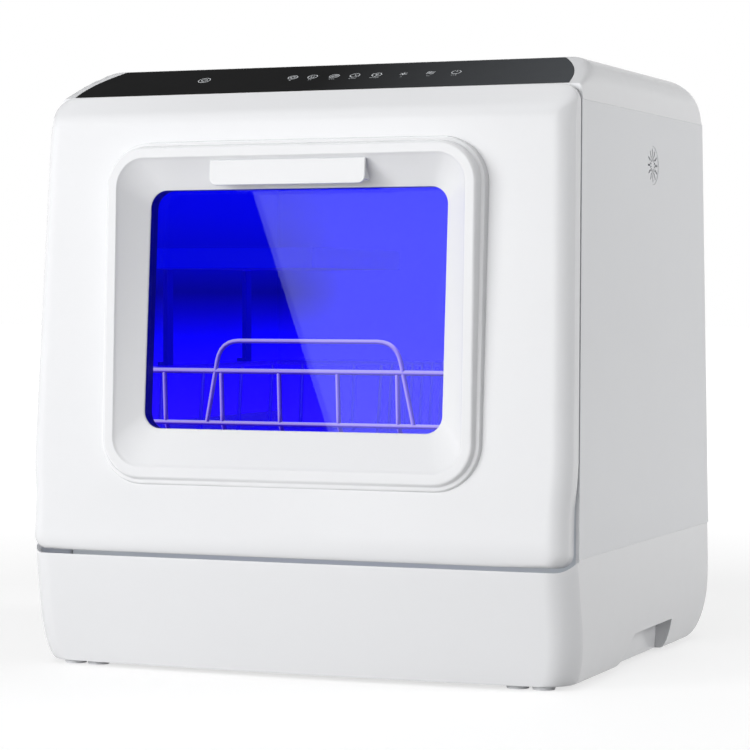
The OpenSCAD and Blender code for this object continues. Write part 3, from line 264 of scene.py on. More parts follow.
def paintedLightLiner(name, steps, rough, power):
    # satin plastic with painted light: it glows in colours that change with the height and from left to right
    mat, tree, shader = newMaterial(name, [c * lamp["body"] for c in steps[0][1]], rough)
    height = ranged(tree, partOf(tree, "Object", "Z"), lamp["low"], lamp["high"])
    across = ranged(tree, partOf(tree, "Object", "X"), lamp["leftTo"], lamp["rightFrom"])
    color = mixed(tree, across, steppedRamp(tree, height, steps),
                  steppedRamp(tree, height, lamp["linerRight"]))
    tree.links.new(mixed(tree, 1 - lamp["body"], color, (0, 0, 0)), shader.inputs["Base Color"])
    tree.links.new(color, shader.inputs["Emission Color"])
    # the painted glow stays on the inside of the tub; the outside stays dark
    inside = None
    for axis, low, high in zip("XYZ", *lamp["inside"]):
        off = mathNode(tree, "SUBTRACT", partOf(tree, "Object", axis), (low + high) / 2)
        within = mathNode(tree, "LESS_THAN", mathNode(tree, "ABSOLUTE", off), (high - low) / 2)
        inside = within if inside is None else mathNode(tree, "MULTIPLY", inside, within)
    spread(tree, inside, 0, power, shader.inputs["Emission Strength"])
    shader.inputs["Specular IOR Level"].default_value = 0.08
    spread(tree, noiseNode(tree, 40).outputs["Fac"], rough * 0.8, rough * 1.2, shader.inputs["Roughness"])
    return mat


def paintedLightWire(name, color, steps, rough, power, metal=0.0):
    # wires in the lit tub with painted light: the sides that face a fixed direction get a painted highlight,
    # the others painted shade, and the far ones are painted in the liner's colour
    mat, tree, shader = newMaterial(name, color, rough, metal)
    place = tree.nodes.new("ShaderNodeTexCoord")
    facing = tree.nodes.new("ShaderNodeVectorMath")
    facing.operation = "DOT_PRODUCT"
    facing.inputs[1].default_value = lamp["wireHighlightFrom"]
    tree.links.new(place.outputs["Normal"], facing.inputs[0])
    glow = steppedRamp(tree, ranged(tree, facing.outputs["Value"], -1, 1), steps)
    far = ranged(tree, partOf(tree, "Object", "Y"), lamp["wireNearY"], lamp["wireFarY"])
    tree.links.new(mixed(tree, far, glow, lamp["wireFar"]), shader.inputs["Emission Color"])
    shader.inputs["Emission Strength"].default_value = power
    shader.inputs["Specular IOR Level"].default_value = 0.15
    spread(tree, noiseNode(tree, 40).outputs["Fac"], rough * 0.8, rough * 1.2, shader.inputs["Roughness"])
    return mat


def picked(tree, value, limit, low, high):
    # low where the value is over the limit, high where it is under
    return mixed(tree, mathNode(tree, "LESS_THAN", value, limit), low, high)


def paintedLightTray(name, color, parts, rough, power):
    # painted light: the front wall glows as if it catches the lamp, the underside is painted dark as shade
    # and the hangers are painted in the liner's colour
    mat, tree, shader = newMaterial(name, color, rough)
    glow = picked(tree, partOf(tree, "Normal", "Z"), -0.5, parts["wall"], parts["under"])
    glow = picked(tree, partOf(tree, "Object", "Y"), lamp["trayY"], glow, parts["front"])
    glow = picked(tree, partOf(tree, "Object", "Z"), lamp["trayLow"], glow, parts["hanger"])
    tree.links.new(glow, shader.inputs["Emission Color"])
    shader.inputs["Emission Strength"].default_value = power
    shader.inputs["Specular IOR Level"].default_value = 0.15
    grain(tree, shader, 700, 0.00002)
    return mat


def blackWithPaintedSheen(name, dark, pale, rough):
    # near-black strip with a painted sheen: it turns a little paler towards the right
    mat, tree, shader = newMaterial(name, dark, rough)
    across = ranged(tree, partOf(tree, "Object", "X"), -0.2, 0.2)
    steps = [(0, dark), (0.5, [c * 0.04 for c in pale]), (1, pale)]
    tree.links.new(steppedRamp(tree, across, steps), shader.inputs["Base Color"])
    shader.inputs["Specular IOR Level"].default_value = 0.15
    spread(tree, noiseNode(tree, 60).outputs["Fac"], rough * 0.85, rough * 1.15, shader.inputs["Roughness"])
    return mat


def clearPane(name, color, rough=0.0):
    mat, tree, shader = newMaterial(name, color, rough)
    shader.inputs["Transmission Weight"].default_value = 1.0
    shader.inputs["IOR"].default_value = 1.45
    spread(tree, noiseNode(tree, 5).outputs["Fac"], rough, rough + 0.01, shader.inputs["Roughness"])
    return mat


def glowing(name, color, power):
    mat, tree, shader = newMaterial(name, color, 0.5)
    shader.inputs["Emission Color"].default_value = (*color, 1)
    shader.inputs["Emission Strength"].default_value = power
    grain(tree, shader, 500, 0.00003)
    return mat


mats = {
    "shell": plastic("white moulding", (0.84, 0.845, 0.86), 0.24, coat=0.1, drift=0.006),
    "side": plastic("side panel white", (0.80, 0.81, 0.83), 0.32, coat=0.1, drift=0.006),
    "grey": plastic("grey moulding", (0.52, 0.53, 0.55), 0.45),
    # door well and front frame glow faintly: painted light that brightens the shaded gap between door and
    # base
    "shade": glowing("inner frame painted glow", (0.42, 0.44, 0.46), 0.45),
    "dark": plastic("dark moulding", (0.02, 0.021, 0.024), 0.4),
    "rubber": plastic("black rubber", (0.025, 0.025, 0.028), 0.75, grainScale=1500, grainHeight=0.00006),
    "foot": plastic("foot rubber", (0.74, 0.75, 0.77), 0.6, grainScale=1500, grainHeight=0.00005),
    "strip": blackWithPaintedSheen("control strip black", (0.001, 0.0012, 0.0015), (0.07, 0.076, 0.083), 0.3),
    "print": plastic("strip print", (0.62, 0.64, 0.66), 0.4, grainHeight=0.000005),
    "steel": metalFinish("brushed steel", (0.62, 0.63, 0.65), 0.3, (1, 12, 1)),
    "turned": metalFinish("turned steel", (0.58, 0.59, 0.61), 0.22, (1, 1, 14)),
    "hose": plastic("grey hose", (0.2, 0.205, 0.215), 0.55, grainScale=300, grainHeight=0.0001),
    "board": plastic("circuit board", (0.015, 0.11, 0.04), 0.4, drift=0.15),
    "orange": plastic("orange moulding", (0.75, 0.23, 0.03), 0.45),
    "tray": paintedLightTray("tray painted light", (0.004, 0.004, 0.16), lamp["tray"], 0.45, lamp["trayGlow"]),
    "tank": plastic("tank moulding", (0.3, 0.33, 0.42), 0.35),
    # the seal glows a faint navy: painted light from the lit tub along the window's edge
    "seal": glowing("window seal", (0.0, 0.0, 0.1), 1.0),
    "liner": paintedLightLiner("liner painted light", lamp["liner"], 0.4, lamp["linerGlow"]),
    "wire": paintedLightWire("wire painted highlights", (0.3, 0.27, 0.4), lamp["wire"], 0.3, lamp["wireGlow"], 0.5),
    # the spray arm glows blue: painted light from the wash lamp
    "arm": glowing("lit spray arm", (0.03, 0.008, 0.8), 0.75),
    "lens": glowing("lamp lens", (0.05, 0.09, 1.0), 6.0),
    "glass": clearPane("blue-tinted glass", (0.72, 0.76, 1.0)),
}
print("materials:", len(mats))


# mesh helpers
def newPiece(name, points, faces, mat, smooth=35):
    mesh = bpy.data.meshes.new(name)
    mesh.from_pydata([[c / 1000 for c in p] for p in points], [], faces)
    mesh.update()
    piece = bpy.data.objects.new(name, mesh)
    bpy.context.scene.collection.objects.link(piece)
    piece.data.materials.append(mat)
    shape = bmesh.new()
    shape.from_mesh(mesh)
    bmesh.ops.remove_doubles(shape, verts=shape.verts, dist=1e-7)
    bmesh.ops.recalc_face_normals(shape, faces=shape.faces)
    shape.to_mesh(mesh)
    shape.free()
    setSmooth(piece, smooth)
    return piece


def setSmooth(piece, angle):
    mesh = piece.data
    shape = bmesh.new()
    shape.from_mesh(mesh)
    for f in shape.faces:
        f.smooth = True
    for e in shape.edges:
        e.smooth = not (len(e.link_faces) == 2 and e.calc_face_angle(0) > radians(angle))
    shape.to_mesh(mesh)
    shape.free()


def bevel(piece, width, segments=3, angle=30):
    m = piece.modifiers.new("bevel", "BEVEL")
    m.width = width / 1000
    m.segments = segments
    m.limit_method = "ANGLE"
    m.angle_limit = radians(angle)
    m.harden_normals = False


def cut(piece, tool, operation="DIFFERENCE"):
    m = piece.modifiers.new("cut", "BOOLEAN")
    m.operation = operation
    m.solver = "EXACT"
    m.object = tool
    applyAll(piece)
    bpy.data.objects.remove(tool)


def applyAll(piece):
    bpy.context.view_layer.update()
    graph = bpy.context.evaluated_depsgraph_get()
    mesh = bpy.data.meshes.new_from_object(piece.evaluated_get(graph))
    piece.modifiers.clear()
    piece.data = mesh


def weighted(piece):
    m = piece.modifiers.new("normals", "WEIGHTED_NORMAL")
    m.keep_sharp = True
    m.weight = 80


def softened(piece, width, segments, angle, smooth):
    bevel(piece, width, segments, angle)
    applyAll(piece)
    setSmooth(piece, smooth)
    weighted(piece)
    return piece


def fit(piece, body, *solids, slot=None):
    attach(piece, body)
    if solids:
        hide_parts(*solids)
    return piece


def ringFaces(rings, closed=False, caps=False):
    # quads between rings of the same length
    n = len(rings[0])
    m = len(rings)
    faces = []
    for i in range(m if closed else m - 1):
        for j in range(n):
            a, b = i * n + j, i * n + (j + 1) % n
            c, d = (i + 1) % m * n + (j + 1) % n, (i + 1) % m * n + j
            faces.append((a, b, c, d))
    if caps:
        faces.append(tuple(range(n - 1, -1, -1)))
        faces.append(tuple(range((m - 1) * n, m * n)))
    return faces


def prismFaces(n):
    # two caps of n points and the quads between them
    faces = [tuple(range(n)), tuple(range(2 * n - 1, n - 1, -1))]
    return faces + [(i, (i + 1) % n, n + (i + 1) % n, n + i) for i in range(n)]


def roundedLow(w, z0, z1, r, steps):
    # rectangle with its two lower corners rounded
    turns = [pi / 2 * i / steps for i in range(steps + 1)]
    outline = [(w, z1), (-w, z1)]
    outline += [(-w + r - r * cos(a), z0 + r - r * sin(a)) for a in turns]
    return outline + [(w - r + r * sin(a), z0 + r - r * cos(a)) for a in turns]


def rounded(x0, y0, x1, y1, r, corner, side):
    # rounded rectangle with evenly split sides, counterclockwise from the right of the top side
    def arc(cx, cy, a):
        turns = [a + pi / 2 * i / corner for i in range(corner + 1)]
        return [(cx + r * cos(t), cy + r * sin(t)) for t in turns]

    def line(a, b):
        return [(a[0] + (b[0] - a[0]) * i / side, a[1] + (b[1] - a[1]) * i / side) for i in range(1, side)]

    arcs = [arc(x1 - r, y1 - r, 0), arc(x0 + r, y1 - r, pi / 2), arc(x0 + r, y0 + r, pi),
            arc(x1 - r, y0 + r, 3 * pi / 2)]
    out = []
    for i in range(4):
        out += arcs[i] + line(arcs[i][-1], arcs[(i + 1) % 4][0])
    return out


# door
doorSkin = {
    "wall": 2.2, "rings": 34, "cornerPoints": 16, "sidePoints": 20, "topSoft": 5, "footTurn": 18,
    "footShare": 0.2, "bevelShare": 0.86, "leastShare": 0.04, "ringFoot": 4.7,
}


def doorSideX(z):
    # the foot of the door is narrower, so that it swings in between the side panels
    return halfAt(case["baseH"] + z) - door["footClear"] * ease(
        (door["footTop"] + door["footBlend"] - z) / door["footBlend"])


def doorHalf(z):
    return (doorSideX(z) - door["topR"] * tuck((z - doorTop + door["topR"]) / door["topR"])
            - door["lowR"] * tuck((door["lowR"] - door["drop"] - z) / door["lowR"]))


def doorDepth(z):
    # share of the full depth kept at height z, with a soft turn onto the top bevel
    low = 1 - doorSkin["footShare"] * tuck((doorSkin["footTurn"] - door["drop"] - z) / doorSkin["footTurn"])
    soft = doorSkin["topSoft"]
    start = doorTop - door["bevel"]
    slope = doorSkin["bevelShare"] / door["bevel"]
    over = z - start
    if over > -soft:
        drop = slope * (over + soft) ** 2 / (4 * soft) if over < soft else slope * over
        low -= drop
    return max(doorSkin["leastShare"], low)


def faceReach(x, z):
    # how far the door's surface stands ahead of the seam plane
    w = doorHalf(z)
    flat = w - door["corner"]
    a = abs(x)
    if a <= flat:
        d = door["edgeReach"] + bow * (1 - (a / flat) ** 2)
    else:
        u = min(1.0, (a - flat) / door["corner"])
        d = door["band"] + (door["edgeReach"] - door["band"]) * sqrt(max(0.0, 1 - u * u))
    return max(0.4, d * doorDepth(z))


def doorOutline():
    # outer outline of the door, in step with rounded(): top right corner first, counterclockwise
    c, s = doorSkin["cornerPoints"], doorSkin["sidePoints"]
    top, low = doorTop, -door["drop"]

    def corner(r, zc, a0, sign):
        pts = []
        for i in range(c + 1):
            a = a0 + pi / 2 * i / c
            z = zc + r * sin(a)
            pts.append((sign * (doorSideX(z) - r * (1 - abs(cos(a)))), z))
        return pts

    arcs = [
        corner(door["topR"], top - door["topR"], 0, 1),
        corner(door["topR"], top - door["topR"], pi / 2, -1),
        corner(door["lowR"], low + door["lowR"], pi, -1),
        corner(door["lowR"], low + door["lowR"], 3 * pi / 2, 1),
    ]
    out = []
    for i in range(4):
        a, b = arcs[i][-1], arcs[(i + 1) % 4][0]
        out += arcs[i]
        for k in range(1, s):
            x, z = a[0] + (b[0] - a[0]) * k / s, a[1] + (b[1] - a[1]) * k / s
            out.append((x if i in (0, 2) else (1 if x > 0 else -1) * doorSideX(z), z))
    return out


def makeDoorSkin():
    foot = window["face"] + doorSkin["ringFoot"]
    w = window["ringHalf"] + foot
    inner = rounded(-w, window["ringLow"] - foot, w, window["ringHigh"] + foot, window["ringR"] + foot,
                    doorSkin["cornerPoints"], doorSkin["sidePoints"])
    outer = doorOutline()
    n = doorSkin["rings"]
    rings = []
    for k in range(n + 1):
        t = sin(pi / 2 * k / n)
        line = [(a[0] + (b[0] - a[0]) * t, a[1] + (b[1] - a[1]) * t) for a, b in zip(inner, outer)]
        rings.append([lean((x, -faceReach(x, z), z)) for x, z in line])
    rings.append([lean((b[0], 0, b[1])) for b in outer])
    skin = newPiece("door_skin", [p for r in rings for p in r], ringFaces(rings), mats["shell"], 50)
    thick = skin.modifiers.new("wall", "SOLIDIFY")
    thick.thickness = doorSkin["wall"] / 1000
    thick.offset = -1
    applyAll(skin)
    setSmooth(skin, 50)
    return skin


fit(makeDoorSkin(), "door", "door_shell", slot="white_shell")
print("door skin done")

surround = {"cornerPoints": 14, "sidePoints": 14, "edgeR": 1.1}


def ringReach(z):
    t = (z - window["ringLow"]) / (window["ringHigh"] - window["ringLow"])
    return window["reachLow"] + (window["reachHigh"] - window["reachLow"]) * t


def windowLine(t, out):
    g, r = window["glassHalf"], window["ringHalf"]
    w = g + (r - g) * t + out
    z0 = window["glassLow"] + (window["ringLow"] - window["glassLow"]) * t - out
    z1 = window["glassHigh"] + (window["ringHigh"] - window["glassHigh"]) * t + out
    rad = window["glassR"] + (window["ringR"] - window["glassR"]) * t + out
    return rounded(-w, z0, w, z1, rad, surround["cornerPoints"], surround["sidePoints"])


def ringAt(t, out, reach, share):
    return [lean((x, -(reach + (ringReach(z) - reach) * share), z)) for x, z in windowLine(t, out)]


def stepAt(out, share, lift=0.0):
    pts = []
    for x, z in windowLine(1, out):
        face = faceReach(x, z)
        pts.append(lean((x, -(face + (ringReach(z) - face) * share + lift), z)))
    return pts


def makeSurround():
    g = window["glassReach"]
    f = window["face"]
    # profile from the glass over the face down to the door, and back behind it
    rings = [
        ringAt(0, 0, g + 0.3, 0), ringAt(0.03, 0, g + 1.3, 0), ringAt(0.5, 0.6, g + 1.6, 0.44),
        ringAt(0.94, 0, 0, 0.94), ringAt(1, 0.5, 0, 1), ringAt(1, f - 1.2, 0, 1),
        stepAt(f, 0.92), stepAt(f + 1.5, 0.47), stepAt(f + 4, 0.4), stepAt(f + 5, 0, 0.3),
        stepAt(f + 5, 0, -2.2), ringAt(1, 5.6, 18, 0), ringAt(0.5, 3, g - 1, 0),
        ringAt(0, 9, g - 3, 0), ringAt(0, 7.4, g - 3, 0), ringAt(0, 7.4, g + 0.3, 0),
    ]
    points = [p for r in rings for p in r]
    piece = newPiece("window_ring", points, ringFaces(rings, closed=True), mats["shell"], 30)
    return softened(piece, surround["edgeR"], 4, 20, 60)


fit(makeSurround(), "door", "window_surround", slot="white_shell")

handle = {"width": 120, "tall": 18, "thick": 2.6, "cornerR": 5, "edgeR": 0.9, "web": 2.2}


def makeHandle():
    z1 = window["ringHigh"] - 2.3
    z0 = z1 - handle["tall"]
    w = handle["width"] / 2
    y1 = -(ringReach(z1) - 0.4)
    outline = roundedLow(w, z0, z1, handle["cornerR"], 10)
    points = [lean((x, y, z)) for y in (y1, y1 + handle["thick"]) for x, z in outline]
    faces = prismFaces(len(outline))
    # webs behind the tab's ends
    foot = window["glassReach"] + 1.6
    rise = (window["ringHigh"] - window["glassHigh"]) / (window["reachHigh"] - foot)
    back, low = -y1 - handle["thick"], z0 + 3
    web = [(-back, low), (-foot - (low - window["glassHigh"]) / rise - 0.8, low),
           (-back, window["glassHigh"] + (back - foot - 0.8) * rise)]
    for s in (-1, 1):
        x0 = s * (w - handle["web"]) - handle["web"] / 2
        base = len(points)
        points += [lean((x0, y, z)) for y, z in web] + [lean((x0 + handle["web"], y, z)) for y, z in web]
        faces += [(base, base + 1, base + 2), (base + 5, base + 4, base + 3)]
        faces += [(base + i, base + (i + 1) % 3, base + 3 + (i + 1) % 3, base + 3 + i) for i in range(3)]
    piece = newPiece("handle_tab", points, faces, mats["shell"], 30)
    return softened(piece, handle["edgeR"], 4, 30, 60)


fit(makeHandle(), "door", "door_handle", slot="white_shell")
print("window ring and handle done")

# base
base = {
    "frontH": 82, "reach": 17.2, "lean": 10.5, "sideTuck": 10, "rearTuck": 42, "cornerR": 20,
    "sideTuckH": 44, "rearTuckH": 61, "rearR": 3, "levels": 40, "wall": 2.5,
    "pocketY": 30, "pocketLen": 98, "pocketH": 22, "pocketDepth": 12, "pocketRearSlant": 6,
    "pocketFrontSlant": 26, "edgeR": 0.7,
}


def baseHalf(z):
    return (case["halfW"] + (case["baseH"] - z) * sideSlope
            - base["sideTuck"] * tuck((base["sideTuckH"] + case["foot"] - z) / base["sideTuckH"]))


def baseRing(z, inset=0.0):
    w = baseHalf(z) - inset
    y0 = seamY - base["reach"] + max(0, base["frontH"] - z) * tan(radians(base["lean"])) + inset
    y1 = rearY - base["rearTuck"] * tuck((base["rearTuckH"] + case["foot"] - z) / base["rearTuckH"]) - inset
    r, q = base["cornerR"], base["rearR"]

    def arc(cx, cy, rad, a, n):
        return [(cx + rad * cos(a + pi / 2 * i / n), cy + rad * sin(a + pi / 2 * i / n))
            for i in range(n + 1)]

    pts = arc(w - q, y1 - q, q, 0, 8)
    pts += [(w - q - (2 * w - 2 * q) * i / 12, y1) for i in range(1, 12)]
    pts += arc(q - w, y1 - q, q, pi / 2, 8)
    pts += [(-w, y1 - q + (y0 + r - y1 + q) * i / 16) for i in range(1, 16)]
    pts += arc(r - w, y0 + r, r, pi, 18)
    pts += [((w - r) * (2 * i / 28 - 1), y0) for i in range(1, 28)]
    pts += arc(w - r, y0 + r, r, 3 * pi / 2, 18)
    pts += [(w, y0 + r + (y1 - q - y0 - r) * i / 16) for i in range(1, 16)]
    out = []
    for x, y in pts:
        bend = bow * (1 - (x / w) ** 2) * min(1.0, max(0.0, (y0 + r + 0.01 - y) / r) * 4) if y < y0 + r else 0
        out.append((x, y - bend, z))
    return out


def pocketTool(side, grow=0.0):
    # wedge of a hand pocket
    mid, top = base["pocketY"], case["foot"] + base["pocketH"] + grow
    x0 = baseHalf(top - grow) - base["pocketDepth"] - grow
    h = base["pocketLen"] / 2
    low = case["foot"] - 1 - grow
    ys = [(mid - h - grow, top), (mid + h + grow, top), (mid + h - base["pocketRearSlant"] + grow, low),
          (mid - h - base["pocketFrontSlant"] - grow, low)]
    pts = [(side * x, y, z) for x in (x0, x0 + 40) for y, z in ys]
    faces = [(0, 1, 2, 3), (7, 6, 5, 4), (0, 4, 5, 1), (1, 5, 6, 2), (2, 6, 7, 3), (3, 7, 4, 0)]
    return newPiece("pocket", pts, faces, mats["shell"])


def doorNotch():
    # space round the foot of the door, cut out of the base's top edge
    w, z0, z1 = case["halfW"] + 1.5, base["frontH"] - case["baseH"], 60
    outline = roundedLow(w, z0, z1, door["lowR"] + 3.5, 16)
    pts = [lean((x, y, z)) for y in (-60, door["gap"]) for x, z in outline]
    return newPiece("notch", pts, prismFaces(len(outline)), mats["shell"])


def makeBase():
    z0 = case["foot"]
    steps = base["levels"]
    levels = [z0 + (case["baseH"] - z0) * (1 - cos(pi / 2 * i / steps)) for i in range(steps + 1)]
    rings = [baseRing(z) for z in levels]
    w = base["wall"]
    inside = z0 + w
    inner = [baseRing(inside, w)] + [baseRing(z, w) for z in levels[1:] if z > inside + 0.3]
    n = len(rings[0])
    points = [p for r in rings for p in r]
    faces = ringFaces(rings)
    start = len(points)
    points += [p for r in inner for p in r]
    faces += [tuple(start + i for i in f) for f in ringFaces(inner)]
    last, lastIn = (len(rings) - 1) * n, start + (len(inner) - 1) * n
    faces += [(last + j, last + (j + 1) % n, lastIn + (j + 1) % n, lastIn + j) for j in range(n)]
    faces += [tuple(range(n)), tuple(range(start, start + n))]
    piece = newPiece("base_skin", points, faces, mats["shell"], 40)
    for side in (-1, 1):
        cut(piece, pocketTool(side))
    cut(piece, doorNotch())
    return softened(piece, base["edgeR"], 2, 35, 45)


fit(makeBase(), "cabinet", "base_housing", slot="white_shell")


def makePocketLiner(side):
    # thin wedge-shaped lining that closes the pocket off from the machine
    outer, inner = pocketTool(side, 2.2), pocketTool(side, 0.05)
    cut(outer, inner)
    shell = [baseRing(z, 0.5) for z in (case["foot"] + 0.3, 8, 12, 16, 22, 30, 40)]
    keep = newPiece("keep", [p for r in shell for p in r], ringFaces(shell, caps=True), mats["shell"])
    cut(outer, keep, "INTERSECT")
    outer.name = "pocket_lining_" + ("left" if side < 0 else "right")
    outer.data.materials.clear()
    outer.data.materials.append(mats["shell"])
    setSmooth(outer, 30)
    return outer


for side in (-1, 1):
    fit(makePocketLiner(side), "cabinet", slot="white_shell")
print("base done")

# top cover and control strip
cover = {
    "power": 5, "sideSteps": 14, "rearSteps": 16, "wall": 2.5, "stripGap": 0.25, "cutDepth": 9,
    "capD": 62, "capAt": (-120, 96), "holeZ": (430, 450), "holePoints": 72, "edgeR": 0.5,
}


def coverSide():
    # (x, drop below the top) from the right bottom edge over the top to the left bottom edge
    r, top, low = case["topEdgeR"], case["height"], case["sideH"]
    w0, w1 = halfAt(low), halfAt(top)
    half = [(w0 + (w1 - w0) * t * (top - r - low) / (top - low), (top - low) * (1 - t) + r * t)
        for t in (0, 0.5)]
    turns = [pi / 2 * i / cover["sideSteps"] for i in range(cover["sideSteps"] + 1)]
    half += [(w1 - r + r * cos(a), r - r * sin(a)) for a in turns]
    flat = [((w1 - r) * (1 - t / 8), 0.0) for t in range(1, 8)]
    right = half + flat
    return right + [(0.0, 0.0)] + [(-x, d) for x, d in reversed(right)]


def coverLength():
    # (y, drop below the top) from the front bottom edge to the rear bottom edge
    top, low, r = case["height"], case["sideH"], case["topRearR"]
    y0 = seamAt(low) + door["gap"]
    pts = [(y0, top - low), (y0 + (stripY0 - y0) * 0.5, top - (low + stripZ0) / 2)]
    soft = 2.0
    for t in (0, 0.03, 0.1, 0.3, 0.5, 0.7, 0.9, 0.97):
        pts.append((stripY0 + (stripY1 - stripY0) * t, (top - stripZ0) * (1 - t)))
    pts.append((stripY1 - soft * 0.1, 0.06))
    pts.append((stripY1 + soft, 0.0))
    pts += [(stripY1 + (rearY - r - stripY1) * t, 0.0) for t in (0.1, 0.3, 0.5, 0.7, 0.9)]
    turns = [pi / 2 * i / cover["rearSteps"] for i in range(cover["rearSteps"] + 1)]
    pts += [(rearY - r + r * sin(a), r - r * cos(a)) for a in turns]
    pts.append((rearY, top - low))
    return pts


def makeCover():
    side, length = coverSide(), coverLength()
    p, deep = cover["power"], case["height"] - case["sideH"]
    rows = []
    for y, d2 in length:
        rows.append([(x, y, case["height"] - min(deep, (d1 ** p + d2 ** p) ** (1 / p))) for x, d1 in side])
    n = len(side)
    points = [q for r in rows for q in r]
    faces = [(i * n + j, i * n + j + 1, (i + 1) * n + j + 1, (i + 1) * n + j)
             for i in range(len(rows) - 1) for j in range(n - 1)]
    piece = newPiece("cover_skin", points, faces, mats["shell"], 50)
    wall = piece.modifiers.new("wall", "SOLIDIFY")
    wall.thickness = cover["wall"] / 1000
    wall.offset = -1
    applyAll(piece)
    # opening for the strip, and the round filling hole
    w = stripOutline(cover["stripGap"])
    deep = cover["cutDepth"]
    cutter = [onStrip((x, y, z)) for z in (-deep, deep) for x, y in w]
    cut(piece, newPiece("opening", cutter, prismFaces(len(w)), mats["shell"]))
    (cx, cy), r, n = cover["capAt"], cover["capD"] / 2, cover["holePoints"]
    ring = [(cx + r * cos(2 * pi * i / n), cy + r * sin(2 * pi * i / n)) for i in range(n)]
    cutter = [(x, y, z) for z in cover["holeZ"] for x, y in ring]
    cut(piece, newPiece("hole", cutter, prismFaces(n), mats["shell"]))
    return softened(piece, cover["edgeR"], 2, 50, 40)


strip = {
    "halfFront": 193.3, "halfRear": 175, "curve": 2.2, "thick": 2.0, "proud": 0.2, "edgeR": 0.4,
    "symbolUp": 30.5, "dotDrop": 6.2, "line": 0.75, "startX": -99.3,
    "programX": (-27.4, -11.6, 5.6, 21.9, 39.0), "keyX": (59.9, 80.6, 100.4),
}


def stripOutline(grow, steps=24):
    a, b = strip["halfFront"], strip["halfRear"]
    right = []
    for i in range(steps + 1):
        x = a - (a - b) * (i / steps) ** strip["curve"] + grow
        right.append((x, 1.2 - grow + (stripLen - 2 + 2 * grow) * i / steps))
    return right + [(-x, y) for x, y in reversed(right)]


def makeStrip():
    w = stripOutline(0)
    m = len(w)
    points = [onStrip((x, y, z)) for z in (-strip["thick"], strip["proud"]) for x, y in w]
    faces = [tuple(range(m - 1, -1, -1)), tuple(range(m, 2 * m))]
    faces += [(i, (i + 1) % m, m + (i + 1) % m, m + i) for i in range(m)]
    piece = newPiece("control_panel", points, faces, mats["strip"])
    return softened(piece, strip["edgeR"], 3, 50, 40)


fit(makeCover(), "cabinet", "top_cover", slot="white_shell")
fit(makeStrip(), "cabinet", "control_strip", slot="strip_glass")


def flatLines(name, lines, width, mat, lift=0.22):
    # thin printed lines on the strip; each line is a list of (x, y) and whether it closes
    points, faces = [], []
    for line, closed in lines:
        n = len(line)
        start = len(points)
        for i, (x, y) in enumerate(line):
            a = line[i - 1] if i or closed else line[i]
            b = line[(i + 1) % n] if i < n - 1 or closed else line[i]
            dx, dy = b[0] - a[0], b[1] - a[1]
            k = width / 2 / max(1e-6, sqrt(dx * dx + dy * dy))
            for s in (1, -1):
                points.append(onStrip((x - s * dy * k, y + s * dx * k, lift)))
        for i in range(n if closed else n - 1):
            a, b = start + 2 * i, start + 2 * ((i + 1) % n)
            faces.append((a, a + 1, b + 1, b))
    piece = newPiece(name, points, faces, mat, 30)
    thick = piece.modifiers.new("ink", "SOLIDIFY")
    thick.thickness = 0.00004
    applyAll(piece)
    return piece


def ringLine(cx, cy, r, a0=0, a1=360, n=28):
    full = a1 - a0 >= 360
    k = n if full else n + 1
    turns = [radians(a0 + (a1 - a0) * i / n) for i in range(k)]
    return [(cx + r * cos(t), cy + r * sin(t)) for t in turns], full


def makeSymbols():
    y, x = strip["symbolUp"], strip["startX"]
    lines = [ringLine(x, y, 4.6), ringLine(x, y, 2.2, 120, 420), ([(x, y + 0.6), (x, y + 3.1)], False)]
    for i, x in enumerate(strip["programX"]):
        lines.append(ringLine(x, y, 3.6))
        if i == 0:  # plate
            lines.append(ringLine(x, y, 1.7))
        elif i == 1:  # glass
            glass = [(x - 1.3, y + 1.8), (x - 0.8, y - 1.6), (x + 0.8, y - 1.6), (x + 1.3, y + 1.8)]
            lines.append((glass, False))
        elif i == 2:  # drops
            lines += [ringLine(x - 1, y - 0.5, 0.9), ringLine(x + 1.1, y + 0.6, 0.9)]
        elif i == 3:  # timer
            lines.append(([(x, y + 2), (x, y), (x + 1.6, y)], False))
        else:  # fork
            prongs = [(x - 1, y + 2), (x - 1, y + 0.6), (x + 1, y + 0.6), (x + 1, y + 2)]
            lines += [([(x, y - 2.2), (x, y + 2)], False), (prongs, False)]
    starX, waveX, powerX = strip["keyX"]
    for a in (30, 90, 150):
        dx, dy = 3 * cos(radians(a)), 3 * sin(radians(a))
        lines.append(([(starX + dx, y + dy), (starX - dx, y - dy)], False))
    for d in (-1.6, 0.4, 2.4):
        wave = [(waveX - 3, y + d), (waveX - 1, y + d + 0.9), (waveX + 1, y + d - 0.9), (waveX + 3, y + d)]
        lines.append((wave, False))
    lines += [ringLine(powerX, y, 3.4, 115, 425), ([(powerX, y + 1), (powerX, y + 4)], False)]
    return flatLines("strip_symbols", lines, strip["line"], mats["print"])


def makeLabels():
    # short rows of one to five dots under the symbols
    y = strip["symbolUp"] - strip["dotDrop"]
    lines = []
    for i, x in enumerate(strip["programX"] + strip["keyX"]):
        k = i % 5 + 1
        for d in range(k):
            lines.append(ringLine(x + (d - (k - 1) / 2) * 1.5, y, 0.28, n=8))
    return flatLines("strip_dots", lines, 0.5, mats["print"])


fit(makeSymbols(), "cabinet", slot="grey_plastic")
fit(makeLabels(), "cabinet", slot="grey_plastic")
print("cover and strip done")

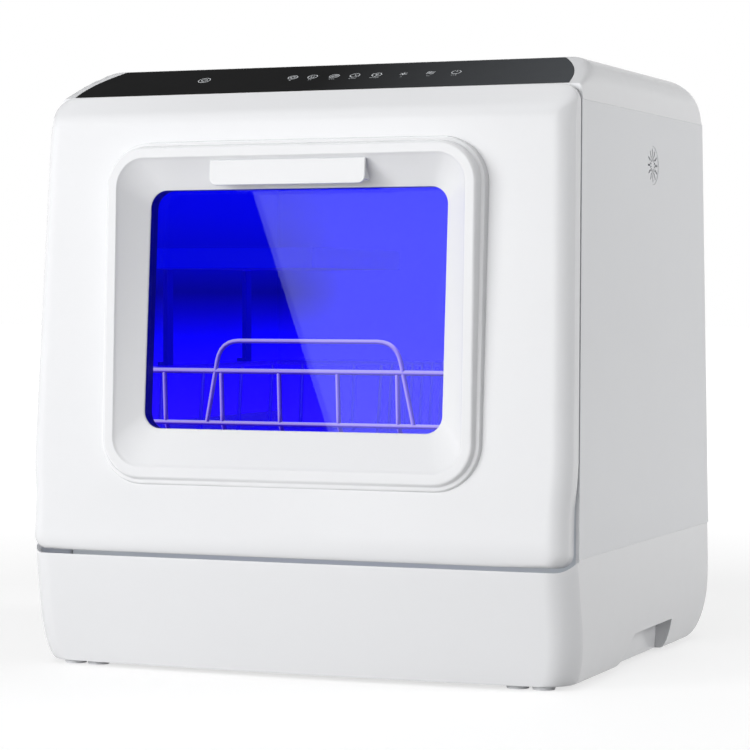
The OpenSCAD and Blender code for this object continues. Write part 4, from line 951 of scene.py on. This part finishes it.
# basket wires
wires = {
    "d": 3.4, "rimD": 4.0, "tineD": 3.0, "bendR": 6, "halfW": 138, "y0": -133, "y1": 118, "floor": 166,
    "rim": 217, "crossY": (-90, -20, 50, 110), "lengthX": (-115, -69, -23, 23, 69, 115),
    "loopFoot": 81, "loopTop": 69, "loopRise": 22, "loopR": 15,
    "tineX": (34, 96), "tineBar": (-95, 100), "tines": 9, "tineY": -84, "tinePitch": 21,
    "tine": ((0, 0), (1.5, 26), (3, 51), (3.1, 52)),
}


def softPath(points, r, closed=False, steps=6):
    # rounds the corners of a path
    pts = [Vector(p) for p in points]
    n = len(pts)
    out = []
    for i, p in enumerate(pts):
        if not closed and i in (0, n - 1):
            out.append(p)
            continue
        a, b = pts[i - 1] - p, pts[(i + 1) % n] - p
        k = min(r, a.length * 0.45, b.length * 0.45)
        p0, p1 = p + a.normalized() * k, p + b.normalized() * k
        out += [p0.lerp(p, t).lerp(p.lerp(p1, t), t) for t in [j / steps for j in range(steps + 1)]]
    return out


def wireMesh(name, paths, mat, sides=14):
    # round wires as one mesh; each path is (points, diameter, closed)
    points, faces = [], []
    for path, d, closed in paths:
        n = len(path)
        up = Vector((0.31, 0.17, 0.94))
        start = len(points)
        for i, p in enumerate(path):
            a = path[i - 1] if i or closed else p
            b = path[(i + 1) % n] if i < n - 1 or closed else p
            t = (b - a).normalized()
            side = (up - t * up.dot(t)).normalized()
            up = side
            other = t.cross(side)
            points += [tuple(p + (side * cos(2 * pi * k / sides) + other * sin(2 * pi * k / sides)) * d / 2)
                       for k in range(sides)]
        for i in range(n if closed else n - 1):
            for k in range(sides):
                a, b = start + i * sides, start + (i + 1) % n * sides
                faces.append((a + k, a + (k + 1) % sides, b + (k + 1) % sides, b + k))
        if not closed:
            faces.append(tuple(start + k for k in range(sides - 1, -1, -1)))
            faces.append(tuple(start + (n - 1) * sides + k for k in range(sides)))
    return newPiece(name, points, faces, mat, 40)


def makeBasket():
    w, y0, y1, fl, rim = wires["halfW"], wires["y0"], wires["y1"], wires["floor"], wires["rim"]
    d, r = wires["d"], wires["bendR"]
    runner = fl - 12 + d / 2 + 0.3
    frontZ = fl + 13
    corners = [(-w, y0, rim), (w, y0, rim), (w, y1, rim), (-w, y1, rim)]
    paths = [(softPath(corners, 3, True), wires["rimD"], True)]
    for s in (-1, 1):
        paths.append(([Vector((s * (w + 4), y0 + 4, runner)), Vector((s * (w + 4), y1, runner))], d, False))
        for y in wires["crossY"]:
            drop = [(s * w, y, rim), (s * (w + 4), y, runner), (s * (w - 12), y, fl)]
            paths.append((softPath(drop, r), d, False))
    paths.append(([Vector((-w + 5, y0 + 2, frontZ)), Vector((w - 5, y0 + 2, frontZ))], d, False))
    for y in wires["crossY"]:
        paths.append(([Vector((12 - w, y, fl)), Vector((w - 12, y, fl))], d, False))
    for x in wires["lengthX"]:
        run = [(x, y0, rim), (x, y0 + 2, frontZ), (x, y0 + 12, fl), (x, y1 - 4, fl), (x, y1, rim)]
        paths.append((softPath(run, r), d, False))
    foot, top, rise = wires["loopFoot"], wires["loopTop"], rim + wires["loopRise"]
    loop = [(-foot, y0 + 1, fl + 14), (-top, y0 - 1, rise), (top, y0 - 1, rise), (foot, y0 + 1, fl + 14)]
    paths.append((softPath(loop, wires["loopR"]), d, False))
    return wireMesh("basket_wires", paths, mats["wire"])


def makeTines():
    z = wires["floor"] + wires["d"]
    y0, y1 = wires["tineBar"]
    paths = []
    for x in wires["tineX"]:
        paths.append(([Vector((x, y0, z)), Vector((x, y1, z))], wires["d"], False))
        for i in range(wires["tines"]):
            y = wires["tineY"] + i * wires["tinePitch"]
            tine = [Vector((x + dx, y, z + dz)) for dx, dz in wires["tine"]]
            paths.append((tine, wires["tineD"], False))
    return wireMesh("plate_wires", paths, mats["wire"])


fit(makeBasket(), "rack", "basket", slot="wire_coat")
fit(makeTines(), "rack", "plate_tines", slot="wire_coat")
print("wires done")

shelf = {"x": (-127, -9), "y": (-104, 52), "z": (292.2, 293.8), "pitch": 9.5, "bar": 2.6}


def makeLattice():
    # cross bars that turn the shelf's long slots into a grid
    points, faces = [], []
    (x0, x1), (y0, y1), (z0, z1) = shelf["x"], shelf["y"], shelf["z"]
    for i in range(1, int((y1 - y0) / shelf["pitch"])):
        y, h, n = y0 + i * shelf["pitch"], shelf["bar"] / 2, len(points)
        bar = ((-h, z0), (h, z0), (h * 0.6, z1), (-h * 0.6, z1))
        points += [(x, y + dy, z) for x in (x0, x1) for dy, z in bar]
        sides = ((3, 2, 1, 0), (4, 5, 6, 7), (0, 1, 5, 4), (1, 2, 6, 5), (2, 3, 7, 6), (3, 0, 4, 7))
        faces += [tuple(n + j for j in f) for f in sides]
    return newPiece("shelf_lattice", points, faces, mats["tray"])


fit(makeLattice(), "rack")

# solids that show as they are
finishes = {
    "shell": ["rear_panel", "fill_cap", "hinge_bracket_left", "hinge_bracket_right", "water_inlet",
              "drain_outlet", "rack_rails"],
    "side": ["side_panel_left", "side_panel_right", "vent_grille"],
    "grey": ["door_liner", "sump", "fill_funnel", "air_duct", "wash_impeller", "drain_impeller"],
    "arm": ["spray_arm", "spray_axle"],
    "dark": ["power_inlet", "fan_housing", "fan_impeller", "latch_body", "door_switch", "wash_pump",
             "drain_pump"],
    "rubber": ["tub_gasket"],
    "seal": ["glass_seal"],
    "foot": ["feet"],
    "steel": ["latch_strike", "hinge_arm_left", "hinge_arm_right", "filter_plate", "heater"],
    "turned": ["casing_screws", "door_screws", "filter_cup"],
    "hose": ["wash_hose", "sump_hose", "drain_hose"],
    "board": ["control_board", "power_board"],
    "orange": ["lock_bolt", "leak_float"],
    "tray": ["cup_shelf"],
    "tank": ["water_tank"],
    "shade": ["door_well", "front_frame"],
    "liner": ["tub"],
    "lens": ["light_lens"],
    "glass": ["door_glass", "inner_glass"],
}
softEdges = {
    "side_panel_left": 0.8, "side_panel_right": 0.8, "rear_panel": 0.6, "feet": 0.8, "fill_cap": 0.5,
    "vent_grille": 0.3, "door_liner": 0.5, "cup_shelf": 0.5, "power_inlet": 0.4,
}
for finish, names in finishes.items():
    for name in names:
        solid = nodes[name]
        for i in range(max(1, len(solid.material_slots))):
            if not solid.material_slots:
                solid.data.materials.append(mats[finish])
            solid.material_slots[i].link = "OBJECT"
            solid.material_slots[i].material = mats[finish]
for name, size in softEdges.items():
    bevel(nodes[name], size, 3, 40)
print("solids finished")

# floor, light and background
studio = {
    "floorHalf": 20, "floor": 0.4, "floorWhite": 0.66, "floorFar": 1.0, "nearR": 0.6, "farR": 2.0,
    "worldSoft": 0.12, "worldHigh": 0.13, "lowLine": 0.16, "highLine": 0.42,
    "key": {"at": (-1.8, -2.3, 1.0), "size": (1.2, 1.4), "power": 43, "aim": (0, 0, 0.22)},
    "front": {"at": (-0.25, -2.6, 0.65), "size": (2.0, 1.0), "power": 29, "aim": (0, 0, 0.22)},
    "side": {"at": (2.55, 0.7, 1.25), "size": (1.2, 1.4), "power": 31, "aim": (0.1, 0, 0.2)},
    "top": {"at": (0, 0.1, 2.4), "size": (2.0, 2.0), "power": 17, "aim": (0, 0, 0.3)},
    "flag": [(-2.9, -2.6, 0.0), (-0.853, -2.6, 0.0), (-1.423, -2.6, 1.4), (-2.9, -2.6, 1.4)],
}


def softLight(name, place):
    data = bpy.data.lights.new(name, "AREA")
    data.shape = "RECTANGLE"
    data.size, data.size_y = place["size"]
    data.energy = place["power"]
    light = bpy.data.objects.new(name, data)
    light.location = place["at"]
    aim = Vector(place["aim"]) - Vector(place["at"])
    light.rotation_euler = aim.to_track_quat("-Z", "Y").to_euler()
    light.visible_glossy = light.visible_transmission = False
    bpy.context.scene.collection.objects.link(light)
    return light


def seenRays(tree, names):
    # 1 for the rays that see the background, 0 for the rays that light the scene
    path = tree.nodes.new("ShaderNodeLightPath")
    total = path.outputs[names[0]]
    for name in names[1:]:
        total = mathNode(tree, "MAXIMUM", total, path.outputs[name])
    return total


backgroundRays = ["Is Camera Ray", "Is Glossy Ray", "Is Transmission Ray"]
for name in ("key", "front", "side", "top"):
    softLight(name, studio[name])

world = bpy.data.worlds.new("studio")
bpy.context.scene.world = world
world.use_nodes = True
tree = world.node_tree
tree.nodes.clear()
out = tree.nodes.new("ShaderNodeOutputWorld")
mix = tree.nodes.new("ShaderNodeMixShader")
soft = tree.nodes.new("ShaderNodeBackground")
white = tree.nodes.new("ShaderNodeBackground")
white.inputs["Color"].default_value = (1, 1, 1, 1)
soft.inputs["Color"].default_value = (0.97, 0.98, 1.0, 1)
soft.inputs["Strength"].default_value = studio["worldSoft"]
# mirrors see a white room up to a dim ceiling, the camera sees plain white
fall = ranged(tree, partOf(tree, "Generated", "Z"), studio["lowLine"], studio["highLine"], 1.0,
              studio["worldHigh"])
bright = mathNode(tree, "MAXIMUM", fall, seenRays(tree, ["Is Camera Ray"]))
tree.links.new(bright, white.inputs["Strength"])
tree.links.new(seenRays(tree, backgroundRays), mix.inputs["Fac"])
tree.links.new(soft.outputs["Background"], mix.inputs[1])
tree.links.new(white.outputs["Background"], mix.inputs[2])
tree.links.new(mix.outputs["Shader"], out.inputs["Surface"])

floorMat, floorTree, floorShader = newMaterial("pale floor", (studio["floor"],) * 3, 0.8)
spread(floorTree, noiseNode(floorTree, 2).outputs["Fac"], 0.76, 0.84, floorShader.inputs["Roughness"])
floorShader.inputs["Emission Color"].default_value = (1, 1, 1, 1)
# whiter far away, so that no horizon shows
away = floorTree.nodes.new("ShaderNodeTexCoord")
length = floorTree.nodes.new("ShaderNodeVectorMath")
length.operation = "LENGTH"
floorTree.links.new(away.outputs["Object"], length.inputs[0])
reach = ranged(floorTree, length.outputs["Value"], studio["nearR"], studio["farR"], studio["floorWhite"],
               studio["floorFar"])
seen = mathNode(floorTree, "MULTIPLY", reach, seenRays(floorTree, backgroundRays))
floorTree.links.new(seen, floorShader.inputs["Emission Strength"])
s = studio["floorHalf"] * 1000
floor = newPiece("floor", [(-s, -s, 0), (s, -s, 0), (s, s, 0), (-s, s, 0)], [(0, 1, 2, 3)], floorMat)

# a black flag that only reflections see, which keeps the left of the window dark
flag = newPiece("flag", [[c * 1000 for c in p] for p in studio["flag"]], [(0, 1, 2, 3)],
                plastic("black flag", (0.0, 0.0, 0.0), 1.0))
flag.visible_camera = flag.visible_diffuse = flag.visible_shadow = False

view = bpy.context.scene.view_settings
view.view_transform = "Standard"
view.look = "None"
print("studio done")
